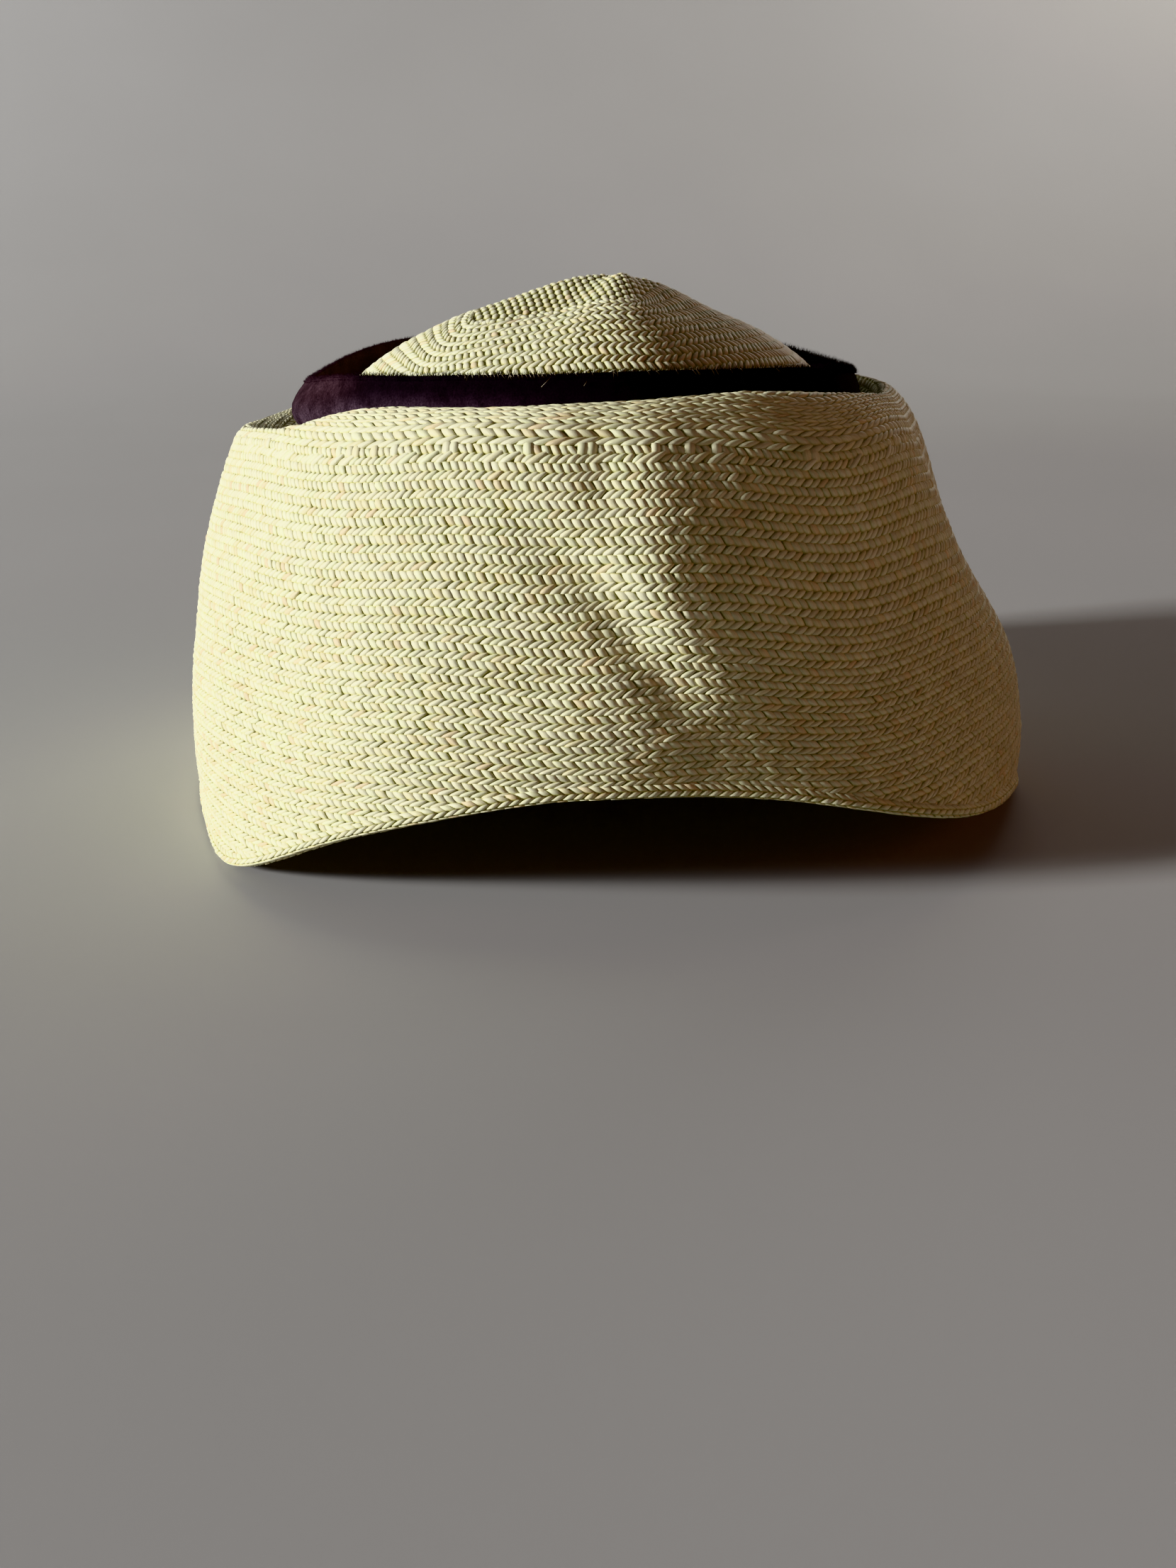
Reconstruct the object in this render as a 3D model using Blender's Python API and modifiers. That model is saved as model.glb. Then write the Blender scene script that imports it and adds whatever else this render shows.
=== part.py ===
"""Straw visor hat: woven crown, deep visor brim and velvet band, in metres with +Z up.

The front of the hat faces -Y. Lengths below are in millimetres and azimuths in degrees,
0 at the front and positive towards +X. The rim's low parts rest on the plane z = 0.
"""
import math

import bmesh
import bpy
import numpy as np

MM = 0.001
HAT = "straw_visor_hat"

# Straw wall
WALL = 2.0
LIP_HEIGHT = 3.0
LIP_OUT = 0.6

# Valley that holds the band, measured from the band's line
VALLEY_DROP = 7.0
VALLEY_IN = -0.6
VALLEY_OUT = 3.0
# Where the valley is deepest: azimuth, extra depth and half width
VALLEY_SINK = (-88.0, 3.2, 26.0)

# Heights of the wall's middle sections, as shares of the way from rim to shoulder
UPPER_SHARE = 0.70
MIDDLE_SHARE = 0.42
LOWER_SHARE = 0.19

# Crown: a shallow pointed dome whose foot stands in the valley
TIP = (6.6, -16.4, 126.4)
FOOT_IN = 1.0
FOOT_DROP = 6.8
CROWN_SKEW = 0.22
CROWN_PROFILE = (
    # share of the way out, share of the way down
    (0.0, 0.000),
    (0.2, 0.095),
    (0.4, 0.241),
    (0.6, 0.389),
    (0.8, 0.622),
    (1.0, 1.000),
)
CROWN_CORNERS = (
    # azimuth, rise and half width of each soft ridge down the dome
    (-71.0, 1.8, 20.0),
    (4.0, 3.4, 18.0),
    (78.0, 1.8, 20.0),
    (180.0, 1.8, 26.0),
)

# Fold down the front of the wall: a crease, and a shallow hollow that crosses to it
CREASE_WIDTH = 5.0
HOLLOW_WIDTH = 9.0
FOLDS = {
    # line round the hat: crease azimuth and rise, hollow azimuth and depth
    "crest": (5.0, 0.5, -32.0, 0.0),
    "shoulder": (4.5, 1.2, -30.0, 0.3),
    "upper": (0.7, 1.8, -23.0, 1.0),
    "middle": (1.0, 1.8, -11.0, 1.2),
    "lower": (4.5, 1.3, -4.0, 0.8),
    "rim": (7.5, 0.3, 0.0, 0.0),
}

# Velvet ribbon standing in the valley
BAND_TOP = 4.4
BAND_BOTTOM = -6.6
BAND_THICK = 2.6
BAND_CENTRE = 0.7
BAND_LEAN = 2.4
BAND_BULGE = 0.5

# Mesh density
AROUND = 72
CROWN_RINGS = 8
BAND_ROWS = 4
SECTION_STEPS = (1, 3, 4, 3, 3, 2, 2, 1)

# One row per section round the hat: radius and height of each line that runs round it
COLUMNS = ("azimuth", "band_r", "band_z", "crest_r", "crest_z", "shoulder_r", "shoulder_z",
           "upper_r", "middle_r", "lower_r", "rim_r", "rim_z")
SECTIONS = (
    (-145, 76.0, 104.8, 83.8, 99.8, 93.3, 92.4, 98.7, 103.6, 107.5, 110.9, 0.0),
    (-115, 72.3, 100.4, 82.8, 93.2, 90.1, 88.2, 99.2, 102.7, 106.0, 108.8, 0.0),
    (-90, 70.6, 99.2, 81.6, 91.6, 88.4, 90.4, 98.8, 103.2, 105.4, 105.7, 0.0),
    (-70, 69.0, 101.0, 79.7, 93.2, 84.6, 92.6, 95.2, 104.0, 106.9, 107.6, 0.0),
    (-55, 69.5, 102.0, 79.9, 98.8, 85.5, 93.1, 95.7, 102.9, 108.8, 113.9, 1.8),
    (-40, 71.0, 103.2, 79.3, 101.8, 87.1, 94.3, 95.9, 103.2, 109.2, 114.7, 13.8),
    (-25, 72.5, 104.1, 80.5, 102.2, 88.0, 96.0, 96.8, 103.3, 108.4, 112.7, 23.3),
    (-12, 73.4, 104.5, 81.3, 103.0, 89.7, 95.9, 97.6, 103.5, 107.2, 109.4, 27.2),
    (0, 73.8, 104.6, 81.6, 103.5, 88.9, 95.6, 99.2, 103.9, 106.4, 107.5, 26.7),
    (12, 73.7, 104.2, 81.6, 104.2, 90.0, 94.1, 99.2, 104.4, 107.3, 109.1, 23.9),
    (25, 72.9, 103.5, 80.9, 103.3, 91.8, 91.9, 98.1, 104.8, 110.1, 114.9, 18.0),
    (40, 70.9, 102.3, 78.9, 101.4, 88.6, 92.6, 97.2, 105.2, 111.4, 116.2, 10.3),
    (55, 68.3, 100.7, 76.5, 99.5, 83.9, 90.5, 95.5, 106.1, 111.7, 113.4, 5.9),
    (70, 66.5, 99.3, 74.8, 98.2, 81.9, 88.7, 93.0, 107.5, 111.8, 111.1, 0.0),
    (90, 69.1, 98.5, 77.2, 98.5, 87.1, 88.4, 95.7, 103.4, 106.7, 107.3, 0.0),
    (115, 72.3, 100.4, 80.4, 99.2, 90.8, 90.0, 97.9, 102.7, 106.0, 108.8, 0.0),
    (145, 76.0, 104.8, 83.8, 101.4, 93.3, 92.6, 98.7, 103.6, 107.5, 110.9, 0.0),
    (180, 76.8, 104.7, 84.8, 102.6, 94.2, 94.1, 99.6, 104.5, 108.6, 112.3, 0.0),
)


def clear_scene():
    """Remove whatever the scene starts with."""
    for obj in list(bpy.data.objects):
        bpy.data.objects.remove(obj, do_unlink=True)


def periodic_spline(knots, values, at):
    """Smooth closed curve through the values, in degrees, evaluated at the azimuths."""
    knots = np.asarray(knots, float)
    values = np.asarray(values, float)
    count = len(knots)
    gaps = np.diff(np.append(knots, knots[0] + 360.0))
    matrix = np.zeros((count, count))
    side = np.zeros(count)
    for i in range(count):
        before = gaps[i - 1]
        after = gaps[i]
        matrix[i, i - 1] += before
        matrix[i, i] += 2.0 * (before + after)
        matrix[i, (i + 1) % count] += after
        rise_after = (values[(i + 1) % count] - values[i]) / after
        rise_before = (values[i] - values[i - 1]) / before
        side[i] = 6.0 * (rise_after - rise_before)
    bend = np.linalg.solve(matrix, side)
    wrapped = knots[0] + np.mod(np.asarray(at, float) - knots[0], 360.0)
    low = np.clip(np.searchsorted(knots, wrapped, side="right") - 1, 0, count - 1)
    high = (low + 1) % count
    gap = gaps[low]
    b = (wrapped - knots[low]) / gap
    a = 1.0 - b
    curve = (a ** 3 - a) * bend[low] + (b ** 3 - b) * bend[high]
    return a * values[low] + b * values[high] + curve * gap ** 2 / 6.0


def line_round(name, azimuths):
    """One named column of the section table, read at the azimuths."""
    knots = [row[0] for row in SECTIONS]
    values = [row[COLUMNS.index(name)] for row in SECTIONS]
    return periodic_spline(knots, values, azimuths)


def radius_round(line, azimuths):
    """Radius of a line round the hat, with the front fold in it."""
    crease, rise, hollow, depth = FOLDS[line]
    fold = rise / np.cosh(turn_from(azimuths, crease) / CREASE_WIDTH)
    dip = depth / np.cosh(turn_from(azimuths, hollow) / HOLLOW_WIDTH)
    return line_round(line + "_r", azimuths) + fold - dip


def turn_from(azimuths, azimuth):
    """Signed turn from one azimuth, between -180 and 180 degrees."""
    return np.mod(np.asarray(azimuths, float) - azimuth + 180.0, 360.0) - 180.0


def polar(radius, azimuths, height):
    """Points at a radius and height, in metres."""
    turn = np.radians(azimuths)
    return np.stack([radius * np.sin(turn), -radius * np.cos(turn), height], axis=-1) * MM


def catmull(before, start, end, after, t):
    """Catmull-Rom curve from start to end."""
    return 0.5 * (2.0 * start + (end - before) * t
                  + (2.0 * before - 5.0 * start + 4.0 * end - after) * t ** 2
                  + (3.0 * start - before - 3.0 * end + after) * t ** 3)


def brim_rows(azimuths):
    """Rows of the brim's outer face, from the valley out to the rim."""
    band_r = line_round("band_r", azimuths)
    band_z = line_round("band_z", azimuths)
    shoulder_z = line_round("shoulder_z", azimuths)
    rim_r = radius_round("rim", azimuths)
    rim_z = np.maximum(line_round("rim_z", azimuths), 0.0)
    lower_r = radius_round("lower", azimuths)
    rise = shoulder_z - rim_z
    lower_z = rim_z + rise * LOWER_SHARE
    lip_share = LIP_HEIGHT / (lower_z - rim_z)
    place, depth, width = VALLEY_SINK
    sink = depth * np.exp(-((turn_from(azimuths, place) / width) ** 2))
    radii = [
        band_r + VALLEY_IN,
        band_r + VALLEY_OUT,
        radius_round("crest", azimuths),
        radius_round("shoulder", azimuths),
        radius_round("upper", azimuths),
        radius_round("middle", azimuths),
        lower_r,
        rim_r + (lower_r - rim_r) * lip_share + LIP_OUT,
        rim_r + LIP_OUT,
    ]
    heights = [
        band_z - VALLEY_DROP,
        band_z - VALLEY_DROP - sink,
        line_round("crest_z", azimuths),
        shoulder_z,
        rim_z + rise * UPPER_SHARE,
        rim_z + rise * MIDDLE_SHARE,
        lower_z,
        rim_z + LIP_HEIGHT,
        rim_z,
    ]
    rows = []
    last = len(radii) - 1
    for k, steps in enumerate(SECTION_STEPS):
        for step in range(steps):
            t = step / steps
            picks = (max(k - 1, 0), k, k + 1, min(k + 2, last))
            r = catmull(*[radii[i] for i in picks], t)
            z = catmull(*[heights[i] for i in picks], t)
            rows.append(polar(r, azimuths, z))
    rows.append(polar(rim_r + LIP_OUT, azimuths, rim_z))
    return np.array(rows)


def crown_rows(azimuths):
    """Rings of the crown's outer face, from beside the tip down to the foot."""
    shares = [row[0] for row in CROWN_PROFILE]
    drops = [row[1] for row in CROWN_PROFILE]
    turn = np.radians(azimuths)
    foot_r = line_round("band_r", azimuths) - FOOT_IN
    foot_z = line_round("band_z", azimuths) - FOOT_DROP
    ridges = np.zeros(len(turn))
    for azimuth, rise, width in CROWN_CORNERS:
        ridges += rise * np.exp(-0.5 * (turn_from(azimuths, azimuth) / width) ** 2)
    rows = []
    for ring in range(1, CROWN_RINGS + 1):
        out = ring / CROWN_RINGS
        down = smooth_table(shares, drops, out) + CROWN_SKEW * out * (1.0 - out) * np.sin(turn)
        x = TIP[0] * (1.0 - out) + out * foot_r * np.sin(turn)
        y = TIP[1] * (1.0 - out) - out * foot_r * np.cos(turn)
        z = TIP[2] + (foot_z - TIP[2]) * down + ridges * 4.0 * out * (1.0 - out)
        rows.append(np.stack([x, y, z], axis=-1) * MM)
    return np.array(rows)


def smooth_table(places, values, at):
    """Catmull-Rom reading of an evenly spaced table, level at its start."""
    last = len(places) - 1
    step = places[1] - places[0]
    k = min(int(at / step + 1e-9), last - 1)
    before = values[k - 1] if k > 0 else values[1]
    after = values[k + 2] if k + 2 <= last else 2.0 * values[last] - values[last - 1]
    return catmull(before, values[k], values[k + 1], after, at / step - k)


def row_normals(rows):
    """Outward unit normals of a face that is closed round the hat."""
    around = np.roll(rows, -1, axis=1) - np.roll(rows, 1, axis=1)
    down = np.gradient(rows, axis=0)
    normals = np.cross(around, down)
    normals /= np.linalg.norm(normals, axis=2)[:, :, None]
    if normals[len(rows) // 2, :, 2].sum() < 0.0:
        normals = -normals
    return normals


def join_rows(bm, upper, lower):
    """Quads between two closed rows of vertices."""
    count = len(upper)
    for i in range(count):
        j = (i + 1) % count
        bm.faces.new((upper[i], upper[j], lower[j], lower[i]))


def shell(name, outer, inner, outer_tip=None, inner_tip=None):
    """Thin closed wall between an outer and an inner face, capped by tips or open as a ring."""
    bm = bmesh.new()
    outside = [[bm.verts.new(point) for point in row] for row in outer]
    inside = [[bm.verts.new(point) for point in row] for row in inner]
    for rows in (outside, inside):
        for upper, lower in zip(rows, rows[1:]):
            join_rows(bm, upper, lower)
    join_rows(bm, outside[-1], inside[-1])
    if outer_tip is None:
        join_rows(bm, outside[0], inside[0])
    else:
        for rows, tip in ((outside, outer_tip), (inside, inner_tip)):
            centre = bm.verts.new(tip)
            ring = rows[0]
            for i in range(len(ring)):
                bm.faces.new((centre, ring[i], ring[(i + 1) % len(ring)]))
    return new_object(name, bm)


def new_object(name, bm):
    """Mesh object from a bmesh, with its faces turned outwards."""
    bmesh.ops.recalc_face_normals(bm, faces=bm.faces)
    mesh = bpy.data.meshes.new(name)
    bm.to_mesh(mesh)
    bm.free()
    return bpy.data.objects.new(name, mesh)


def build_brim(azimuths):
    """The straw from the valley over the shoulder and down to the lipped rim."""
    outer = brim_rows(azimuths)
    inner = outer - row_normals(outer) * WALL * MM
    inner[0, :, :2] = outer[0, :, :2]
    inner[0, :, 2] = outer[0, :, 2] - WALL * MM
    inner[-1, :, 2] = outer[-1, :, 2]
    return shell("brim", outer, inner)


def build_crown(azimuths):
    """The pointed dome inside the band."""
    outer = crown_rows(azimuths)
    inner = outer - row_normals(outer) * WALL * MM
    tip = np.array(TIP) * MM
    return shell("crown", outer, inner, tip, tip - np.array([0.0, 0.0, WALL * MM]))


def build_band(azimuths):
    """The velvet ribbon, a soft-edged hoop in the valley, drawn in at the top of its sides."""
    centre = line_round("band_r", azimuths) + BAND_CENTRE
    level = line_round("band_z", azimuths)
    lean = BAND_LEAN * np.sin(np.radians(azimuths)) ** 2
    rows = []
    for row in range(BAND_ROWS + 1):
        share = row / BAND_ROWS
        bulge = BAND_BULGE * math.sin(math.pi * share)
        height = level + BAND_TOP + (BAND_BOTTOM - BAND_TOP) * share
        radius = centre - BAND_BULGE / 2.0 + bulge - lean * (1.0 - share) ** 2
        rows.append(polar(radius, azimuths, height))
    bm = bmesh.new()
    lines = [[bm.verts.new(point) for point in row] for row in rows]
    for upper, lower in zip(lines, lines[1:]):
        join_rows(bm, upper, lower)
    band = new_object("hat_band", bm)
    solid = band.modifiers.new("ribbon thickness", "SOLIDIFY")
    solid.thickness = (BAND_THICK - BAND_BULGE) * MM
    solid.offset = 0.0
    soften = band.modifiers.new("soft edges", "BEVEL")
    soften.width = 0.6 * MM
    soften.segments = 1
    soften.limit_method = "ANGLE"
    soften.angle_limit = math.radians(50.0)
    return band


def give_material(obj, name, colour, roughness):
    """A plain Principled material of its own."""
    material = bpy.data.materials.new(name)
    material.use_nodes = True
    shader = material.node_tree.nodes["Principled BSDF"]
    shader.inputs["Base Color"].default_value = (*colour, 1.0)
    shader.inputs["Roughness"].default_value = roughness
    obj.data.materials.append(material)


def centre_on_origin(objects):
    """Move the hat so its box is centred on the Z axis."""
    points = np.array([v.co for obj in objects if obj.name == "brim" for v in obj.data.vertices])
    middle = (points.min(axis=0) + points.max(axis=0)) / 2.0
    for obj in objects:
        for vertex in obj.data.vertices:
            vertex.co.x -= middle[0]
            vertex.co.y -= middle[1]


def main():
    """Build the three pieces in one collection."""
    clear_scene()
    azimuths = np.arange(AROUND) * 360.0 / AROUND
    crown = build_crown(azimuths)
    brim = build_brim(azimuths)
    band = build_band(azimuths)
    pieces = (crown, brim, band)
    centre_on_origin(pieces)
    give_material(crown, "crown_straw", (0.76, 0.71, 0.50), 0.7)
    give_material(brim, "brim_straw", (0.76, 0.71, 0.50), 0.7)
    give_material(band, "band_velvet", (0.05, 0.02, 0.04), 0.9)
    collection = bpy.data.collections.new(HAT)
    bpy.context.scene.collection.children.link(collection)
    for obj in pieces:
        collection.objects.link(obj)


main()
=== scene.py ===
"""Straw visor hat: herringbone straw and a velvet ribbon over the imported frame.

The front of the hat faces -Y. Lengths in the tables are in millimetres and azimuths in
degrees, 0 at the front and positive towards +X. The shape follows the tables of the part's
source. The front fold's place, the dents and the crown's soft hollows belong to this scene
alone. Every stitch of the weave is a small raised form laid on that shape.
"""

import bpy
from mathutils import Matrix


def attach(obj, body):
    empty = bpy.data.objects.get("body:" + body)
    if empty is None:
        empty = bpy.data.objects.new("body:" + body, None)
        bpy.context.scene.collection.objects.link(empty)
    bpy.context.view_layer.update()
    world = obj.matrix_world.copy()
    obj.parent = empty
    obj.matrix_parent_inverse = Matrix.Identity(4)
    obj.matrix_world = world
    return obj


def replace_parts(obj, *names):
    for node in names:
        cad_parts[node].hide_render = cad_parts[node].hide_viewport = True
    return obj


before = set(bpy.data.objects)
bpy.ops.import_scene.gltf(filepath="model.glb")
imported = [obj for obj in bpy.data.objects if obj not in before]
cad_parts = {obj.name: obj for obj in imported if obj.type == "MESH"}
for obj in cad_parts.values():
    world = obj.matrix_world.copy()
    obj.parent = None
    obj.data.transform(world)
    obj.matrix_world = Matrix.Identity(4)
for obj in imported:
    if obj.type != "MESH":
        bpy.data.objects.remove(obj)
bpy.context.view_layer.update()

import copy
import math

import bmesh
import bpy
import numpy as np
from mathutils import Matrix

MM = 0.001
SEED = 11
# How far the part moves its solids to stand centred on the Z axis
SHIFT = np.array((0.9001, 2.3332, 0.0))
UP = np.array([0.0, 0.0, 1.0])

# -------- shape

VALLEY_DROP = 7.0
VALLEY_IN = -0.6
VALLEY_OUT = 3.0
# The valley is deeper at the left: azimuth, depth, half width
VALLEY_SINK = (-88.0, 3.2, 26.0)
UPPER_SHARE = 0.70
MIDDLE_SHARE = 0.42
LOWER_SHARE = 0.19
LIP_HEIGHT = 3.0

TIP = (6.6, -16.4, 126.4)
# The dome is fuller just outside its tip and lower at it: share out, half width, rise
TIP_SOFT = ((0.17, 0.10, 0.5), (0.0, 0.07, -0.25))
FOOT_IN = 1.0
FOOT_DROP = 6.8
CROWN_SKEW = 0.22
# Share of the way down at each fifth of the way out, with one fifth more at both ends
CROWN_PROFILE = np.array((0.095, 0.0, 0.095, 0.241, 0.389, 0.622, 1.0, 1.378))
CROWN_STEPS = 5
CROWN_PAST = 1.15
CROWN_CORNERS = (
    # azimuth, rise and half width of each soft ridge or hollow down the dome
    (-71.0, 1.8, 20.0),
    (-5.0, 3.6, 13.0),
    (78.0, 1.8, 20.0),
    (180.0, 1.8, 26.0),
    (-115.0, -2.4, 22.0),
    (118.0, -1.6, 24.0),
)

CREASE_WIDTH = 3.8
HOLLOW_WIDTH = 9.0
FOLDS = {
    # line round the hat: crease azimuth and rise, hollow azimuth and depth
    "crest": (1.0, 0.7, -32.0, 0.0),
    "shoulder": (-0.8, 1.4, -30.0, 0.3),
    "upper": (-1.6, 1.8, -23.0, 1.0),
    "middle": (-1.8, 1.6, -11.0, 1.2),
    "lower": (-0.5, 0.9, -4.0, 0.5),
    "rim": (7.5, 0.3, 0.0, 0.0),
}

# Soft dents and one bulge in the front of the straw: half width, then azimuth, distance below
# the shoulder and depth along each. DENT_MM is the length of a degree there.
DENT_MM = 1.75
DENTS = (
    (6.0, ((-18.0, 17.0, 0.3), (-13.0, 22.5, 1.7), (-8.6, 28.0, 2.6), (-4.0, 38.5, 3.2),
           (-0.4, 49.0, 2.0), (2.0, 57.0, 0.4))),
    (5.0, ((-7.2, -1.0, 0.8), (-6.8, 5.0, 1.2), (-6.5, 11.0, 0.9), (-6.5, 17.0, 0.2))),
    (11.0, ((-13.0, 44.0, -0.5), (-9.5, 54.0, -1.5), (-6.0, 63.0, -1.4), (-5.0, 74.0, -0.7))),
)

BAND_TOP = 4.4
BAND_BOTTOM = -6.6
BAND_THICK = 2.6
BAND_CENTRE = 0.7
BAND_LEAN = 2.4

COLUMNS = ("azimuth", "band_r", "band_z", "crest_r", "crest_z", "shoulder_r", "shoulder_z",
           "upper_r", "middle_r", "lower_r", "rim_r", "rim_z")
SECTIONS = (
    (-145, 76.0, 104.8, 83.8, 99.8, 93.3, 92.4, 98.7, 103.6, 107.5, 110.9, 0.0),
    (-115, 72.3, 100.4, 82.8, 93.2, 90.1, 88.2, 99.2, 102.7, 106.0, 108.8, 0.0),
    (-90, 70.6, 99.2, 81.6, 91.6, 88.4, 90.4, 98.8, 103.2, 105.4, 105.7, 0.0),
    (-70, 69.0, 101.0, 79.7, 93.2, 84.6, 92.6, 95.2, 104.0, 106.9, 107.6, 0.0),
    (-55, 69.5, 102.0, 79.9, 98.8, 85.5, 93.1, 95.7, 102.9, 108.8, 113.9, 1.8),
    (-40, 71.0, 103.2, 79.3, 101.8, 87.1, 94.3, 95.9, 103.2, 109.2, 114.7, 13.8),
    (-25, 72.5, 104.1, 80.5, 102.2, 88.0, 96.0, 96.8, 103.3, 108.4, 112.7, 23.3),
    (-12, 73.4, 104.5, 81.3, 103.0, 89.7, 95.9, 97.6, 103.5, 107.2, 109.4, 27.2),
    (0, 73.8, 104.6, 81.6, 103.5, 88.9, 95.6, 99.2, 103.9, 106.4, 107.5, 26.7),
    (12, 73.7, 104.2, 81.6, 104.2, 90.0, 94.1, 99.2, 104.4, 107.3, 109.1, 23.9),
    (25, 72.9, 103.5, 80.9, 103.3, 91.8, 91.9, 98.1, 104.8, 110.1, 114.9, 18.0),
    (40, 70.9, 102.3, 78.9, 101.4, 88.6, 92.6, 97.2, 105.2, 111.4, 116.2, 10.3),
    (55, 68.3, 100.7, 76.5, 99.5, 83.9, 90.5, 95.5, 106.1, 111.7, 113.4, 5.9),
    (70, 66.5, 99.3, 74.8, 98.2, 81.9, 88.7, 93.0, 107.5, 111.8, 111.1, 0.0),
    (90, 69.1, 98.5, 77.2, 98.5, 87.1, 88.4, 95.7, 103.4, 106.7, 107.3, 0.0),
    (115, 72.3, 100.4, 80.4, 99.2, 90.8, 90.0, 97.9, 102.7, 106.0, 108.8, 0.0),
    (145, 76.0, 104.8, 83.8, 101.4, 93.3, 92.6, 98.7, 103.6, 107.5, 110.9, 0.0),
    (180, 76.8, 104.7, 84.8, 102.6, 94.2, 94.1, 99.6, 104.5, 108.6, 112.3, 0.0),
)

# -------- weave

# Grid of every sheet: even places round the hat, and the step of v
PLACES = 720
AZIMUTHS = np.arange(PLACES) * 360.0 / PLACES - 180.0
V_STEP = 0.1
# First and last v of the wall, steps between two of its lines, the shoulder's place among
# them, and the distances below the shoulder at which its rows are counted
WALL_V = (-9.5, 38.0)
WALL_STEPS = 20
SHOULDER = 3 * WALL_STEPS
WALL_REACH = (-30.0, 130.0)
WALL_FINE = 0.25
# Past its rim the wall runs on along the slope of this many of its last lines
WALL_LAST = 8

# Height of one herringbone row along the wall, by the distance below the shoulder
ROW_PITCH = ((-30.0, 4.6), (-15.0, 4.4), (-11.5, 1.75), (-5.5, 1.85), (-4.0, 3.4), (0.0, 3.6),
             (6.0, 3.7), (28.0, 3.7), (45.0, 3.3), (57.0, 3.1),
             (70.0, 2.85), (90.0, 2.75), (130.0, 2.75))
# On the right the rows are taller high up and shorter low down: middle, half width, change
RIGHT_AZIMUTH = 45.0
RIGHT_SPREAD = 35.0
RIGHT_ROWS = ((24.0, 14.0, 0.45), (58.0, 12.0, -0.40))

# Stitches round the wall, above the shoulder and round the turned edge
STITCHES_WALL = 312
STITCHES_TOP = 186
STITCHES_EDGE = 318
STITCH_CROWN = 1.86
# Longer stitches on the crown's two sides: azimuth, half width, share
CROWN_SIDE = (105.0, 42.0, 0.55)
STITCH_RISE = 0.46
# Share of that rise above the shoulder, on the crown, its patch and the turned edge
RISE_TOP, RISE_CROWN, RISE_PATCH, RISE_EDGE = 1.05, 0.82, 0.80, 0.92
# Sideways lean of the strands that run down and up, in stitches
LEAN_DOWN = 0.50
LEAN_UP = -1.10
LEAN_CROWN = (0.48, -1.0)
LEAN_EDGE = (0.85, -0.85)
LEAN_PATCH = 0.15
# From the shoulder to LEAN_ROWS further down both leans grow
LEAN_ROWS = 24.0
LEAN_DOWN_MORE = 0.08
LEAN_UP_SHARE = (0.94, 0.12)
TIP_SHIFT = 0.38
SEAT = -0.25
CORE_OUT = -0.42
CORE_IN = -1.55
INSIDE = -1.72
INSIDE_FIRST_ROW = -5.2
# How stitches differ: place, width and rise by shares, lean, bow and ends in stitches
LOOSE = {"place": 0.035, "width": 0.05, "lean": 0.06, "bow": 0.045, "end": 0.012, "rise": 0.10,
         "lift": 0.03}
LOOSE_PATCH = dict(LOOSE, place=0.06, lean=0.08, bow=0.05, end=None)
# Share of thicker strands just below the shoulder, how much further they reach up and down,
# and the rise, width and lean of these and of the others
ODD_SHARE = 0.20
ODD_REACH = (-0.16, 0.08)
ODD_RISE = (1.35, 0.98)
ODD_WIDTH = (1.20, 0.97)
ODD_LEAN = (-0.55, 0.12)

# Square of plain twill in the middle of the crown, and the rows round it
PATCH_FRONT = np.array((3.9, -44.7))
PATCH_LEFT = np.array((-32.9, -29.3))
PATCH_DEPTH = 58.0
PATCH_ROW = 1.7
PATCH_STITCH = 3.1
PATCH_POWER = 8
PATCH_LIMIT = 1.12
CROWN_ROWS_FRONT = 10.0
CROWN_ROWS_BACK = 13.0
CROWN_ROWS_TURN = (50.0, 155.0)
# How far past the foot the crown is measured, in steps of which a hundred reach the foot
CROWN_MEASURE = (1.12, 113, 100)
# The crown's stitches start at least this far above its foot, in rows
CROWN_ROOM = 0.1
# The crown's rounder strands lie within this turn of this azimuth
CROWN_FRONT = (-12.0, 118.0)

# Turned edge of the rim, outwards and upwards from the rim's line
EDGE_ROWS = 0.85
EDGE_PROFILE = np.array((
    (0.05, 3.6), (0.42, 2.9), (0.62, 2.1), (0.62, 1.3), (0.30, 0.74), (-0.50, 0.60),
    (-1.60, 0.62), (-2.35, 0.95), (-2.62, 1.6), (-2.50, 2.4), (-2.00, 3.3),
))
EDGE_HALF_ROWS = 6
# Rows above the rim's line to which its upward direction is taken
EDGE_PROBE = 0.6
# A stitch starts this far above the edge, and none reaches further than this below its top
EDGE_ROOM = 0.20
EDGE_TUCK = 0.22
# Columns and rows of the plain shells, and how far the wall's starts and ends past its weave
BRIM_CORE_GRID = (180, 36)
BRIM_CORE_ENDS = (-0.05, -0.30)
EDGE_CORE_GRID = (240, 14)
CROWN_CORE_GRID = (120, 22)

# Kinds of strand, by their place in a tuple of ALONG
SLANT, LEAF, TWILL = 0, 1, 2
# How far across a strand, and the share of its height there
ACROSS = {
    "fine": ((-1.0, -0.60), (-0.80, 0.72), (0.0, 1.0), (0.80, 0.72), (1.0, -0.60)),
    "plain": ((-1.0, -0.60), (-0.66, 0.86), (0.66, 0.86), (1.0, -0.60)),
    "round": ((-1.0, -0.60), (-0.66, 0.56), (0.0, 1.0), (0.66, 0.56), (1.0, -0.60)),
    "coarse": ((-1.0, -0.50), (0.0, 1.0), (1.0, -0.50)),
}
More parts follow.
